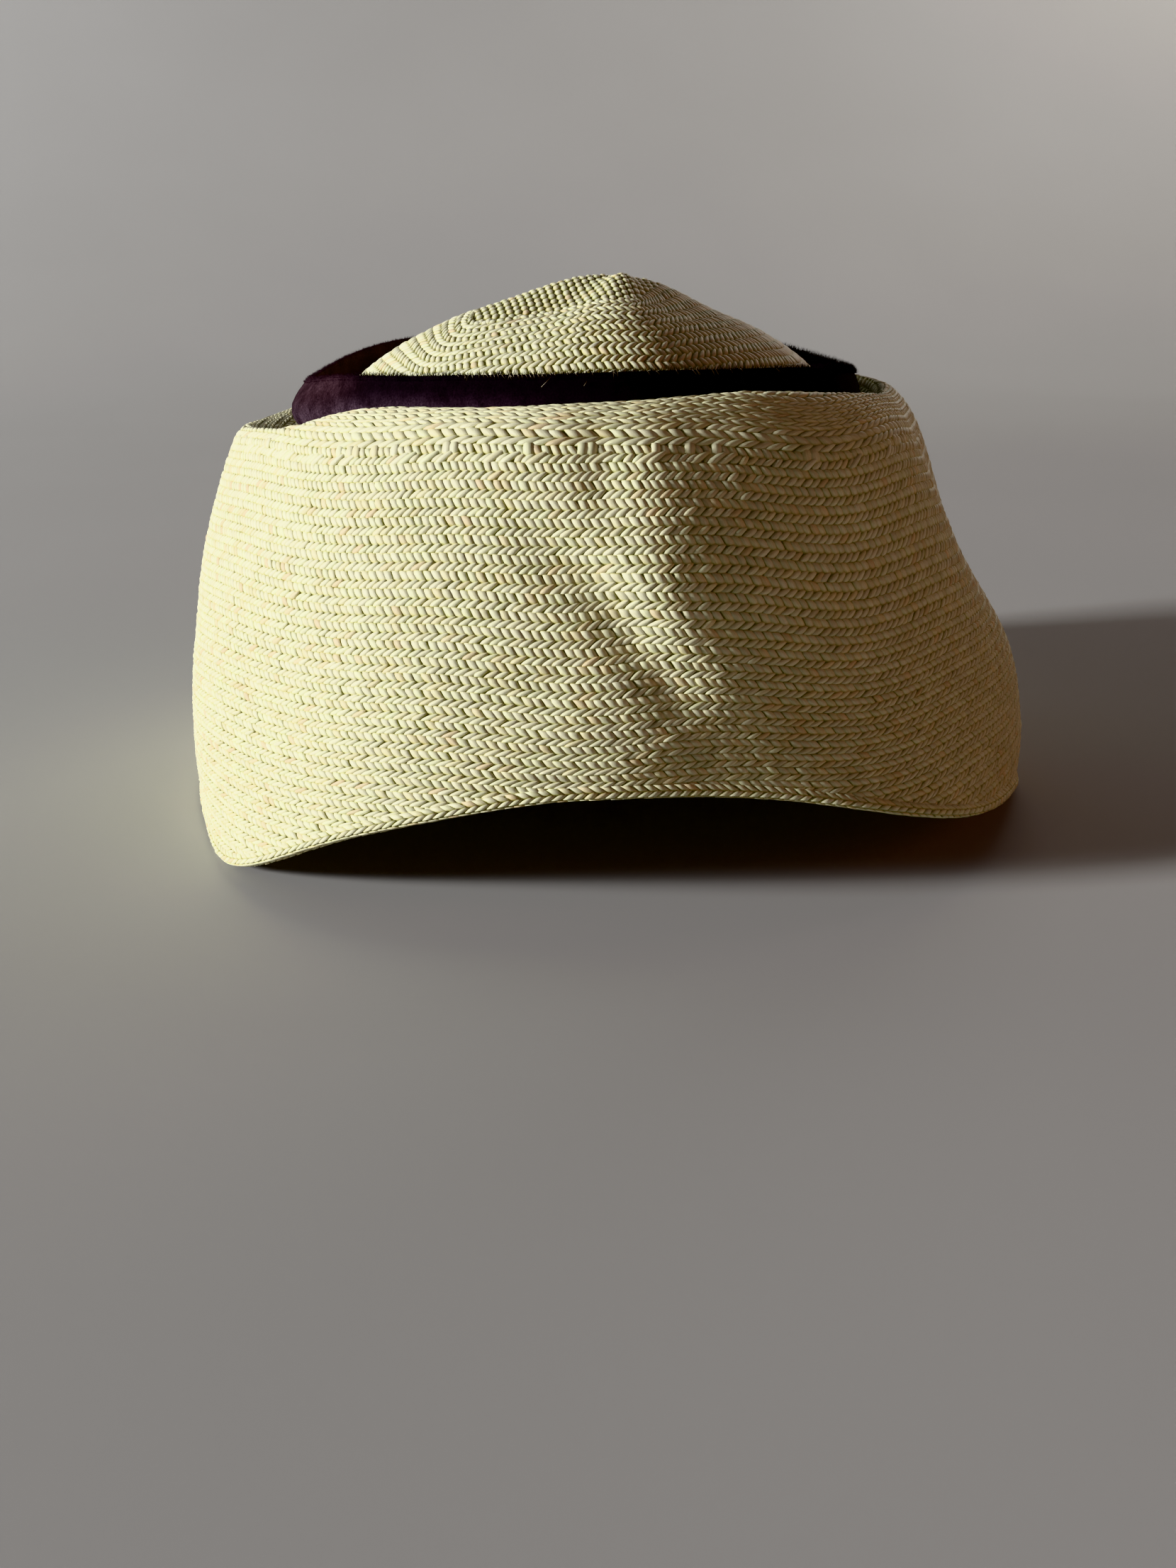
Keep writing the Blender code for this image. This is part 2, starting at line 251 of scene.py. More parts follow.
# How far along a strand, with the shares of its height and of its width there. The slanted
# strand dips under the leaf below it, and the leaf runs out to a point at its top.
SLANT_FINE = ((-0.16, -0.40, 0.62), (0.05, 0.80, 0.94), (0.42, 1.0, 1.04),
              (0.80, 0.74, 1.04), (1.25, -0.10, 1.0))
LEAF_FINE = ((-0.20, -0.20, 0.22), (0.06, 0.72, 0.70), (0.30, 0.95, 0.98),
             (0.62, 1.0, 1.06), (0.92, 0.82, 0.94), (1.12, -0.40, 0.58))
SLANT_PLAIN = ((-0.14, -0.40, 0.66), (0.14, 0.92, 1.0), (0.78, 0.78, 1.04), (1.22, -0.15, 1.0))
LEAF_PLAIN = ((-0.18, -0.20, 0.28), (0.18, 0.86, 0.88), (0.82, 0.96, 1.02), (1.12, -0.45, 0.60))
TWILL_PLAIN = ((-0.08, -0.45, 0.50), (0.22, 0.90, 1.0), (0.76, 0.90, 1.0), (1.06, -0.45, 0.50))
SLANT_COARSE = ((-0.10, -0.4, 0.9), (0.5, 1.0, 1.0), (1.10, -0.4, 0.9))
LEAF_COARSE = ((-0.10, -0.4, 0.8), (0.5, 1.0, 1.0), (1.10, -0.4, 0.8))
ALONG = {"fine": (SLANT_FINE, LEAF_FINE), "round": (SLANT_FINE, LEAF_FINE, TWILL_PLAIN),
         "plain": (SLANT_PLAIN, LEAF_PLAIN), "coarse": (SLANT_COARSE, LEAF_COARSE, LEAF_COARSE)}
OVERLAP = {"fine": 1.12, "plain": 1.12, "round": 1.09, "coarse": 1.12}
LEAF_TILT = 0.12
LEAF_TAPER = 0.3
LEAF_BOW = -0.09
JOINT = 0.75
GRAIN_ALONG = 1.6
GRAIN_SEEDS = (37.0, 91.0)

# -------- velvet

# Folded end of the ribbon on the left: azimuth, half width, how far it swells and hangs
FOLD_END = (-84.0, 19.0, 2.3, 1.5)
FOLD_POWER = 1.3
# Rise of the ribbon's top edge: azimuth, half width, millimetres
TOP_RISE = ((-62.0, 20.0, 0.55), (-6.0, 24.0, -0.35))
# Places round the ribbon and round its section, and the section's two roundings and bulge
RIBBON_GRID = (540, 28)
RIBBON_ROUND = (0.55, 0.80)
RIBBON_BULGE = 0.16
# Upward part of its outward directions, and the spread of its noise
RIBBON_UP = 0.8
NOISE_SPREAD = 0.6
# Length of the ribbon, and for its top edge and its ripple the step and the height
RIBBON_LENGTH = 450.0
TOP_WAVE = (22.0, 0.10)
RIPPLE = (6.0, 0.05)
# Where painted sheen turns the pile purple, and where it is maroon: from and to, in azimuth or in
# share of the way down
PURPLE_LEFT = (-4.0, 42.0)
PURPLE_END = (-120.0, -95.0)
PURPLE_LOW = (0.22, 0.80)
# Maroon is partly the ribbon's own colour, on its inner face and at the right, and partly painted
# light on the lit left fold, strongest at the fold's top
MAROON_LEFT = (50.0, 70.0)
MAROON_END = (-178.0, -150.0)
MAROON_RIGHT = (70.0, 95.0)
# How much painted sheen and how much maroon it has at its top and the change down to its
# foot, and how maroon on its inner face and at the right
PURPLE_SHARE = (0.08, 0.92)
MAROON_SHARE = (0.95, -0.75)
MAROON_INNER, MAROON_FAR = 0.85, 0.05
# Fibres: how many, the share in the top edge, the places and lengths of these and the rest
PILE_COUNT = 15000
PILE_TOP_SHARE = 0.55
PILE_TOP_PLACES = (0.13, 0.17, 0.21, 0.25, 0.29)
PILE_TOP_LONG = (0.7, 1.6)
PILE_LONG = (0.3, 0.7)
PILE_THICK = (0.05, 0.08)
PILE_ROOT = 0.15
# Way of a fibre: spread and upward part in the top edge, and outward part, spread and
# downward part elsewhere
PILE_TOP_WAY = (0.38, 0.25)
PILE_WAY = (0.55, 0.22, 0.75)
# Painted glints: share of fibres lit bright on the painted sheen, and how bright they are
PILE_GLINT_SHARE = 0.34
PILE_GLINT_LEVEL = (0.3, 0.9)
# Left of this azimuth the fibres are half as long
PILE_SHORT = -58.0
# Stray hairs: how many, how many of them lie further right, where, and the last two alone
HAIR_COUNT = 64
HAIR_RIGHT = 14
HAIR_LEFT_PLACE = (-20.0, 6.0)
HAIR_RIGHT_PLACE = (-10.0, 30.0)
HAIR_LONG = (0.8, 1.7)
HAIR_THICK = 0.06
# Their place by share of the section, height over it, and outward and downward parts
HAIR_TOP = 0.20
HAIR_LIFT = 0.25
HAIR_WAY = (0.45, 0.75)
HAIR_AROUND = (0.45, 0.25)
HAIR_TWO = {"place": (-16.0, -9.0), "long": (3.2, 1.4), "around": [[0.9], [0.6]],
            "top": 0.08, "lift": 0.35, "up": 0.8}

# -------- looks and room

BRIM_TONE = (0.81, 0.80, 0.58)
CROWN_TONE = (0.86, 0.855, 0.65)
# Painted shade: the shells beneath the stitches are much darker than the straw, standing in for
# the shade down between the strands
BRIM_CORE_SHADE = (0.24, 0.20, 0.09)
CROWN_CORE_SHADE = (0.34, 0.31, 0.18)
STRAW_HUES = ((0.0, (0.97, 1.00, 0.93)), (0.45, (1.0, 1.0, 1.0)), (0.80, (1.0, 0.985, 0.93)),
              (0.93, (1.0, 0.955, 0.85)), (1.0, (1.0, 0.86, 0.78)))
STRAW_STREAKS = ((0.30, (0.86, 0.84, 0.78)), (0.62, (1.05, 1.05, 1.05)))
# Painted shade: by its height within the strand, the straw is darkened at the low ends and edges
# where it dips under its neighbours
STRAW_JOINT_SHADE = ((0.10, (0.22, 0.21, 0.08)), (0.44, (0.46, 0.45, 0.24)),
                (0.64, (0.86, 0.85, 0.70)), (0.82, (1.0, 1.0, 1.0)))
FIBRE_STRETCH = (5.5, 0.55, 1.0)
STRAW_ROUGH = (0.62, 0.48)
VELVET_BLACK = (0.0034, 0.0026, 0.0030)
# Purple of the painted sheen on the lower left of the ribbon
VELVET_PURPLE = (0.074, 0.056, 0.066)
# Maroon, partly the ribbon's own colour and partly painted light on its lit left fold
VELVET_MAROON = (0.052, 0.034, 0.037)
# Colour of the painted glints on single fibres
VELVET_GLINT = (0.32, 0.27, 0.31)
VELVET_SHEEN = (0.55, 0.38, 0.55, 1.0)
VELVET_DEEP = ((0.30, (0.35, 0.35, 0.35)), (0.70, (1.7, 1.7, 1.7)))
VELVET_WORN = ((0.34, (0.55, 0.52, 0.55)), (0.66, (1.45, 1.38, 1.5)))
HAIR_TONES = ((0.35, (0.30, 0.24, 0.17)), (0.65, (0.66, 0.58, 0.46)))
FLOOR_TONES = ((0.3, (0.46, 0.46, 0.45)), (0.7, (0.48, 0.48, 0.47)))
SURROUND_TONE = (0.27, 0.265, 0.26, 1.0)
SKY_TONE = (0.90, 0.74, 0.70, 1.0)
SKY_STRENGTH = 0.035

CAMERA_PLACE = (-59.2006, -385.6987, 132.6641)
CAMERA_YAW = 0.147322
CAMERA_PITCH = 0.345493
CAMERA_ROLL = -0.019963
FOCAL_SHARE = 2100.0 / 2212.0
SENSOR = 24.0

# Lamps turned to the hat: azimuth, elevation, distance and side in metres, watts, colour
LAMPS = (
    ("key", -85.0, 13.0, 3.6, 0.50, 210.0, (1.0, 0.99, 0.99)),
    ("fill_right", 60.0, 16.0, 1.5, 0.9, 2.3, (1.0, 0.49, 0.41)),
    ("fill_back", 150.0, 22.0, 2.2, 1.0, 9.0, (1.0, 0.93, 0.86)),
)
LAMP_TARGET = (0.0, 0.0, 0.07)
# Lamp turned to the backdrop: place, target, side, watts, colour
BACKDROP_LAMP = ((1.1, 0.8, 1.5), (1.0, 1.9, 0.3), 0.8, 2.6, (0.98, 0.99, 1.0))
# The ground in metres: half width, near end, start and radius of its sweep, steps, top
GROUND = (4.0, -2.5, 0.9, 1.1, 24, 3.2)
# Height and radius of each ring of the surround in metres, and the places round it
SURROUND = ((-3.0, 7.0), (3.0, 7.0), (7.0, 4.5), (8.5, 1.5))
SURROUND_PLACES = 48


# -------- curves


def bell(gap, width):
    """Smooth bump, 1 where the gap is zero."""
    return np.exp(-(gap / width) ** 2)


def smooth_step(value, low, high):
    """0 below low, 1 above high and smooth between."""
    share = np.clip((value - low) / (high - low), 0.0, 1.0)
    return share * share * (3.0 - 2.0 * share)


def unit(vectors):
    """The vectors at length 1."""
    return vectors / np.maximum(np.linalg.norm(vectors, axis=-1, keepdims=True), 1e-9)


def catmull(before, start, end, after, t):
    """Catmull-Rom curve from start to end."""
    return 0.5 * (2.0 * start + (end - before) * t
                  + (2.0 * before - 5.0 * start + 4.0 * end - after) * t ** 2
                  + (3.0 * start - before - 3.0 * end + after) * t ** 3)


def line_round(name, at):
    """One named column of the section table at the azimuths, as a smooth closed curve."""
    knots, values = (np.array([row[COLUMNS.index(key)] for row in SECTIONS], float)
                     for key in ("azimuth", name))
    count = len(knots)
    gaps = np.diff(np.append(knots, knots[0] + 360.0))
    before, eye = np.roll(gaps, 1), np.eye(count)
    matrix = (eye * (2.0 * (before + gaps))[:, None] + np.roll(eye, -1, axis=1) * before[:, None]
              + np.roll(eye, 1, axis=1) * gaps[:, None])
    slope = (np.roll(values, -1) - values) / gaps
    bend = np.linalg.solve(matrix, 6.0 * (slope - np.roll(slope, 1)))
    wrapped = knots[0] + np.mod(np.asarray(at, float) - knots[0], 360.0)
    low = np.clip(np.searchsorted(knots, wrapped, side="right") - 1, 0, count - 1)
    high = (low + 1) % count
    b = (wrapped - knots[low]) / gaps[low]
    a = 1.0 - b
    curve = (a ** 3 - a) * bend[low] + (b ** 3 - b) * bend[high]
    return a * values[low] + b * values[high] + curve * gaps[low] ** 2 / 6.0


def turn_from(azimuths, azimuth):
    """Signed turn from one azimuth, between -180 and 180 degrees."""
    return np.mod(np.asarray(azimuths, float) - azimuth + 180.0, 360.0) - 180.0


def azimuth_of(u):
    """Azimuth in degrees of a place round the hat."""
    return np.mod(u, 1.0) * 360.0 - 180.0


def read_round(values, u):
    """Values given at even places round the hat, read at u, one turn from 0 to 1."""
    count = values.shape[-1]
    x = np.mod(u, 1.0) * count
    i = np.floor(x).astype(int) % count
    f = x - np.floor(x)
    return values[..., i] * (1 - f) + values[..., (i + 1) % count] * f


def wall_section():
    """Radii and heights of the wall at the azimuths, from the valley to the rim."""
    line = {name: line_round(name, AZIMUTHS) for name in COLUMNS[1:]}
    for name, (crease, rise, hollow, depth) in FOLDS.items():
        fold = rise / np.cosh(turn_from(AZIMUTHS, crease) / CREASE_WIDTH)
        dip = depth / np.cosh(turn_from(AZIMUTHS, hollow) / HOLLOW_WIDTH)
        line[name + "_r"] = line[name + "_r"] + fold - dip
    rim_r, rim_z = line["rim_r"], np.maximum(line["rim_z"], 0.0)
    rise = line["shoulder_z"] - rim_z
    lower_z = rim_z + rise * LOWER_SHARE
    lip_r = rim_r + (line["lower_r"] - rim_r) * (LIP_HEIGHT / (lower_z - rim_z))
    place, depth, width = VALLEY_SINK
    valley_z = line["band_z"] - VALLEY_DROP
    radii = [line["band_r"] + VALLEY_IN, line["band_r"] + VALLEY_OUT,
             *(line[name + "_r"] for name in ("crest", "shoulder", "upper", "middle", "lower")),
             lip_r, rim_r]
    heights = [valley_z, valley_z - depth * bell(turn_from(AZIMUTHS, place), width),
               line["crest_z"], line["shoulder_z"], rim_z + rise * UPPER_SHARE,
               rim_z + rise * MIDDLE_SHARE, lower_z, rim_z + LIP_HEIGHT, rim_z]
    last = len(radii) - 1
    return [np.array([catmull(*(values[min(max(k + n, 0), last)] for n in (-1, 0, 1, 2)),
                              step / WALL_STEPS)
                      for k in range(last) for step in range(WALL_STEPS)] + values[-1:])
            for values in (radii, heights)]


def dents(azimuth, below):
    """How far the straw is pressed in at an azimuth, at distances below the shoulder."""
    total = np.zeros_like(below)
    for width, line in DENTS:
        nearest = np.full_like(below, 1e9)
        depth = np.zeros_like(below)
        for (az0, s0, d0), (az1, s1, d1) in zip(line[:-1], line[1:]):
            run = np.array([(az1 - az0) * DENT_MM, s1 - s0])
            x = (azimuth - az0) * DENT_MM
            y = below - s0
            t = np.clip((x * run[0] + y * run[1]) / (run @ run), 0.0, 1.0)
            gap = np.hypot(x - t * run[0], y - t * run[1])
            depth = np.where(gap < nearest, d0 + (d1 - d0) * t, depth)
            nearest = np.minimum(gap, nearest)
        total += depth * bell(nearest, width)
    return total


# -------- surfaces


class Sheet:
    """A surface closed in u, one turn from 0 to 1, and read smoothly at any u and v."""

    def __init__(self, points, v_first=0.0):
        self.points, self.v_first = points, v_first
        around = np.roll(points, -1, axis=1) - np.roll(points, 1, axis=1)
        self.normals = unit(np.cross(around, np.gradient(points, axis=0)))
        if ((points - points.mean(axis=(0, 1))) * self.normals).sum() < 0.0:
            self.normals = -self.normals

    def at(self, u, v):
        """Points and normals at u and v."""
        rows, cols = self.points.shape[:2]
        x = np.mod(u, 1.0) * cols
        y = np.clip((v - self.v_first) / V_STEP, 0.0, rows - 1.001)
        i, j = np.floor(x).astype(int) % cols, np.floor(y).astype(int)
        fx, fy = (x - np.floor(x))[..., None], (y - j)[..., None]
        k = (i + 1) % cols
        point, normal = ((grid[j, i] * (1 - fx) + grid[j, k] * fx) * (1 - fy)
                         + (grid[j + 1, i] * (1 - fx) + grid[j + 1, k] * fx) * fy
                         for grid in (self.points, self.normals))
        return point, unit(normal)

    def turned(self, distance):
        """The same surface moved along its normals and turned over."""
        other = copy.copy(self)
        other.points = self.points + self.normals * distance
        other.normals = -self.normals
        return other


def make_wall():
    """The wall as a sheet whose v counts herringbone rows below the shoulder, and the v of
    its rim and of its valley round the hat."""
    radii, heights = wall_section()
    steps = np.hypot(np.diff(radii, axis=0), np.diff(heights, axis=0))
    along = np.concatenate([np.zeros((1, PLACES)), np.cumsum(steps, axis=0)])
    along -= along[SHOULDER]
    fine = np.arange(*WALL_REACH, WALL_FINE)
    base = np.interp(fine, *np.transpose(ROW_PITCH))
    right = bell(turn_from(AZIMUTHS, RIGHT_AZIMUTH), RIGHT_SPREAD)
    change = sum(share * bell(fine - middle, width) for middle, width, share in RIGHT_ROWS)
    levels = np.arange(*WALL_V, V_STEP)
    points = np.zeros((len(levels), PLACES, 3))
    rim, valley = np.zeros((2, PLACES))
    for i, azimuth in enumerate(AZIMUTHS):
        pitch = base + right[i] * change
        rows = np.concatenate([[0.0], np.cumsum(WALL_FINE / (0.5 * (pitch[1:] + pitch[:-1])))])
        rows -= np.interp(0.0, fine, rows)
        s = np.interp(levels, rows, fine)
        line = along[:, i]
        over = np.maximum(s - line[-1], 0.0)
        r, z = (np.interp(np.clip(s, line[0], line[-1]), line, values)
                + over * ((values[-1] - values[-WALL_LAST]) / (line[-1] - line[-WALL_LAST]))
                for values in (radii[:, i], heights[:, i]))
        r = r + np.minimum(s - line[0], 0.0) - dents(azimuth, s)
        turn = math.radians(azimuth)
        points[:, i] = np.stack([r * math.sin(turn), -r * math.cos(turn), z], axis=-1)
        valley[i], rim[i] = np.interp(line[[0, -1]], fine, rows)
    return Sheet(points, WALL_V[0]), rim, valley


def make_edge(wall, rim):
    """The turned edge as a sheet whose v counts its half rows, from outside to inside."""
    u = np.arange(PLACES) / PLACES
    points, normals = wall.at(u, rim)
    up = unit(wall.at(u, rim - EDGE_PROBE)[0] - points)
    steps = np.linalg.norm(np.diff(EDGE_PROFILE, axis=0), axis=1)
    length = np.concatenate([[0.0], np.cumsum(steps)])
    s = np.arange(0.0, EDGE_HALF_ROWS + V_STEP / 2.0, V_STEP) / EDGE_HALF_ROWS * length[-1]
    out, rise = (np.interp(s, length, column)[:, None, None] for column in EDGE_PROFILE.T)
    sheet = Sheet(points[None] + normals[None] * out + up[None] * rise)
    if (sheet.normals[:5] * normals[None]).sum() < 0.0:
        sheet.normals = -sheet.normals
    return sheet


class Dome:
    """The crown's outer face, read at any point of the plan."""

    def __init__(self):
        turn = np.radians(AZIMUTHS)
        self.foot = ((line_round("band_r", AZIMUTHS) - FOOT_IN)
                     * np.array([np.sin(turn), -np.cos(turn)]))
        self.foot_z = line_round("band_z", AZIMUTHS) - FOOT_DROP
        angle = np.unwrap(np.arctan2(self.foot[0] - TIP[0], TIP[1] - self.foot[1]))
        self.angle = np.concatenate([angle - 2 * math.pi, angle, angle + 2 * math.pi])
        self.place = np.arange(-PLACES, 2 * PLACES) / PLACES
        self.ridges = sum(rise * np.exp(-0.5 * (turn_from(AZIMUTHS, azimuth) / width) ** 2)
                          for azimuth, rise, width in CROWN_CORNERS)

    def height(self, x, y):
        """Height of the crown over a point of the plan."""
        dx, dy = x - TIP[0], y - TIP[1]
        u = np.interp(np.arctan2(dx, -dy), self.angle, self.place)
        foot_x, foot_y = read_round(self.foot, u)
        reach = np.maximum(np.hypot(foot_x - TIP[0], foot_y - TIP[1]), 1e-6)
        out = np.hypot(dx, dy) / reach
        step = np.clip(out, 0.0, CROWN_PAST) * CROWN_STEPS
        k = np.minimum(np.floor(step).astype(int), CROWN_STEPS - 1)
        down = catmull(*(CROWN_PROFILE[k + n] for n in range(4)), step - k)
        down = down + CROWN_SKEW * out * (1.0 - out) * np.sin(np.radians(azimuth_of(u)))
        rise = read_round(self.ridges, u) * 4.0 * out * (1.0 - out)
        soften = sum(height * bell(out - at, width) for at, width, height in TIP_SOFT)
        return TIP[2] + (read_round(self.foot_z, u) - TIP[2]) * down + rise + soften


PATCH_ALONG = (PATCH_FRONT - PATCH_LEFT) / np.linalg.norm(PATCH_FRONT - PATCH_LEFT)
PATCH_BACK = np.array([-PATCH_ALONG[1], PATCH_ALONG[0]])
PATCH_HALF = (np.linalg.norm(PATCH_FRONT - PATCH_LEFT) / 2.0, PATCH_DEPTH / 2.0)
PATCH_MIDDLE = (PATCH_FRONT + PATCH_LEFT) / 2.0 + PATCH_BACK * PATCH_DEPTH / 2.0


def patch_reach(offset):
    """How far a plan offset from the patch's middle reaches, 1 on its rounded outline."""
    return ((np.abs(offset @ PATCH_ALONG) / PATCH_HALF[0]) ** PATCH_POWER
            + (np.abs(offset @ PATCH_BACK) / PATCH_HALF[1]) ** PATCH_POWER)


def make_crown(dome):
    """The crown round its patch, as a sheet whose v counts rows out from the patch, and the
    number of rows round it, more of them towards the back."""
    foot = dome.foot.T
    ray = foot - PATCH_MIDDLE
    start = PATCH_MIDDLE + ray / (patch_reach(ray) ** (1.0 / PATCH_POWER))[:, None]
    back = smooth_step(np.abs(turn_from(AZIMUTHS, 0.0)), *CROWN_ROWS_TURN)
    rows = CROWN_ROWS_FRONT + (CROWN_ROWS_BACK - CROWN_ROWS_FRONT) * back

    def over(share):
        """Points of the dome at shares of the way from the patch to the foot."""
        x, y = (start[None, :, n] + (foot[None, :, n] - start[None, :, n]) * share
                for n in (0, 1))
        return np.stack([x, y, dome.height(x, y)], axis=-1)

    past, count, foot_at = CROWN_MEASURE
    even = np.linspace(0.0, past, count)[:, None]
    steps = np.linalg.norm(np.diff(over(even), axis=0), axis=2)
    length = np.concatenate([np.zeros((1, PLACES)), np.cumsum(steps, axis=0)])
    levels = np.arange(0.0, CROWN_ROWS_BACK + 0.6, V_STEP)
    share = [np.interp(levels / rows[i] * length[foot_at, i], length[:, i], even[:, 0])
             for i in range(PLACES)]
    return Sheet(over(np.stack(share, axis=1))), rows


class Patch:
    """The twill patch, with u and v in millimetres along the plan's two axes."""

    def __init__(self, dome, drop=0.0, side=1.0):
        self.dome, self.drop, self.side = dome, drop, side

    def raw(self, u, v):
        x, y = PATCH_MIDDLE[0] + v, PATCH_MIDDLE[1] + u
        return np.stack([x, y, self.dome.height(x, y)], axis=-1)

    def at(self, u, v):
        """Points and normals at u and v."""
        step = 0.4
        du = self.raw(u + step, v) - self.raw(u - step, v)
        dv = self.raw(u, v + step) - self.raw(u, v - step)
        normal = unit(np.cross(dv, du))
        normal = np.where(normal[..., 2:3] < 0.0, -normal, normal)
        return self.raw(u, v) + normal * self.drop, normal * self.side

    def turned(self, distance):
        """The inside of the patch."""
        return Patch(self.dome, distance, -1.0)


# -------- meshes


def add_object(name, data):
    """A new object in the scene."""
    made = bpy.data.objects.new(name, data)
    bpy.context.scene.collection.objects.link(made)
    return made


def new_mesh(name, verts, faces, **attributes):
    """A smooth mesh object from points in metres and faces, with values for its points."""
    mesh = bpy.data.meshes.new(name)
    mesh.from_pydata(verts, [], faces, shade_flat=False)
    for key, values in attributes.items():
        kind, field = (("FLOAT_COLOR", "color") if key == "tint" else ("FLOAT_VECTOR", "vector"))
        layer = mesh.attributes.new(key, kind, "POINT")
        layer.data.foreach_set(field, values.astype(np.float32).ravel())
    return add_object(name, mesh)


def add_piece(name, verts, faces, material, slot, **attributes):
    """A piece of the hat, with its points in millimetres."""
    piece = new_mesh(name, (verts - SHIFT) * MM, faces, **attributes)
    piece.data.materials.append(material)
    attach(piece, "root")
    return piece


def grid_faces(rows, cols):
    """Quads of a grid of points, closed round its columns."""
    i, j = np.meshgrid(np.arange(rows - 1), np.arange(cols), indexing="ij")
    k = (j + 1) % cols
    return np.stack([i * cols + j, i * cols + k, (i + 1) * cols + k, (i + 1) * cols + j],
                    axis=-1).reshape(-1, 4)


def closed_loop(name, profiles, material, slot, **attributes):
    """A ring-shaped solid from a closed profile at each place round it."""
    rows, cols = profiles.shape[:2]
    faces = grid_faces(rows + 1, cols) % (rows * cols)
    verts = profiles.reshape(-1, 3)
    a, b, c = (verts[faces[:, n]] for n in (0, 1, 2))
    if np.einsum("ij,ij->i", a, np.cross(b, c)).sum() < 0.0:
        faces = faces[:, ::-1]
    return add_piece(name, verts, faces, material, slot, **attributes)


def stitches(sheet, cells, level, kind, limit):
    """Raised forms for a set of cells, with their colour and grain attributes."""
    a, ha = (np.array(values)[None, :, None] for values in zip(*ACROSS[level]))
    b, hb, wide = (np.array(values)[None, None, :] for values in zip(*ALONG[level][kind]))
    wide = wide * OVERLAP[level]
    column = {key: value[:, None, None] for key, value in cells.items()}
    swell = np.sin(math.pi * np.clip(b, 0.0, 1.0)) * column["bow"]
    u = column["u"] + column["width"] * (0.5 * a * wide + column["lean"] * (b - 0.5) + swell)
    v = column["v0"] + (column["v1"] - column["v0"]) * b + 0.0 * a
    if limit is not None:
        v = np.minimum(v, limit(u))
    tilt = LEAF_TILT if kind == LEAF else 0.0
    lift = np.maximum(ha + hb - 1.0, -JOINT) - tilt * a * (1.0 - np.abs(a) * LEAF_TAPER)
    height = SEAT + column["lift"] + column["rise"] * lift
    point, normal = sheet.at(u, v)
    verts = point + normal * height[..., None]
    number, rows, cols = shape = verts.shape[:3]
    index = np.arange(rows * cols).reshape(rows, cols)
    quads = np.stack([index[:-1, :-1], index[1:, :-1], index[1:, 1:], index[:-1, 1:]],
                     axis=-1).reshape(-1, 4)
    faces = (quads[None] + (np.arange(number) * rows * cols)[:, None, None]).reshape(-1, 4)
    i, j = rows // 2, cols // 2
    outwards = np.cross(verts[:, i, j] - verts[:, i - 1, j], verts[:, i, j] - verts[:, i, j - 1])
    if np.median((outwards * normal[:, i, j]).sum(axis=-1)) < 0.0:
        faces = faces[:, ::-1]

    def layers(*values):
        """The values side by side at every point."""
        return np.stack([np.broadcast_to(value, shape) for value in values],
                        axis=-1).reshape(-1, len(values))

    # Second layer: each point's height within its strand, which the straw material turns into
    # painted shade at the low ends and edges
    tint = layers(column["shade"], np.clip((lift + JOINT) / (1.0 + JOINT), 0.0, 1.0),
                  column["hue"], 1.0)
    seed = column["shade"] * GRAIN_SEEDS[0] + column["hue"] * GRAIN_SEEDS[1]
    return verts.reshape(-1, 3), faces, tint, layers(a, b * GRAIN_ALONG, seed)


def weave_piece(name, sheet, batches, material, slot, limit=None):
    """One piece made of batches of cells, each with its own fineness."""
    made, start = [], 0
    for cells, level in batches:
        for kind in (SLANT, LEAF, TWILL):
            some = pick(cells, cells["kind"] == kind)
            if len(some["u"]):
                verts, faces, tint, grain = stitches(sheet, some, level, kind, limit)
                made.append((verts, faces + start, tint, grain))
                start += len(verts)
    verts, faces, tint, grain = (np.concatenate(parts) for parts in zip(*made))
    add_piece(name, verts, faces, material, slot, tint=tint, grain=grain)


# -------- straw


def pick(cells, chosen):
    """The chosen cells of a set."""
    return {key: value[chosen] for key, value in cells.items()}


def join_cells(parts):
    """Several sets of cells as one."""
    return {key: np.concatenate([part[key] for part in parts]) for key in parts[0]}


def make_cells(rng, u, width, unit_place, v0, v1, lean, bow, rise, kind, loose=LOOSE):
    """Cells at the places u, each a little different from the next."""
    n = len(u)

    def end(v):
        shake = 0.0 if loose["end"] is None else rng.normal(0.0, loose["end"], n)
        return np.full(n, float(v)) + shake

    return {
        "u": u + rng.normal(0.0, loose["place"], n) / unit_place,
        "width": np.full(n, width) * rng.normal(1.0, loose["width"], n),
        "lean": lean + rng.normal(0.0, loose["lean"], n),
        "bow": bow + rng.normal(0.0, loose["bow"], n),
        "v0": end(v0),
        "v1": end(v1),
        "rise": rise * rng.normal(1.0, loose["rise"], n),
        "lift": rng.normal(0.0, loose["lift"], n),
        "shade": rng.random(n),
        "hue": rng.random(n),
        "kind": np.full(n, kind),
    }


def cells_in_row(rng, count, v0, v1, lean, phase, rise, kind, keep=None):
    """Even cells all round one half row."""
    u = (np.arange(count) + 0.5) / count + phase
    if keep is not None:
        u = u[keep(u)]
    return make_cells(rng, u, 1.0 / count, count, v0, v1, lean, kind * LEAF_BOW, rise, kind)


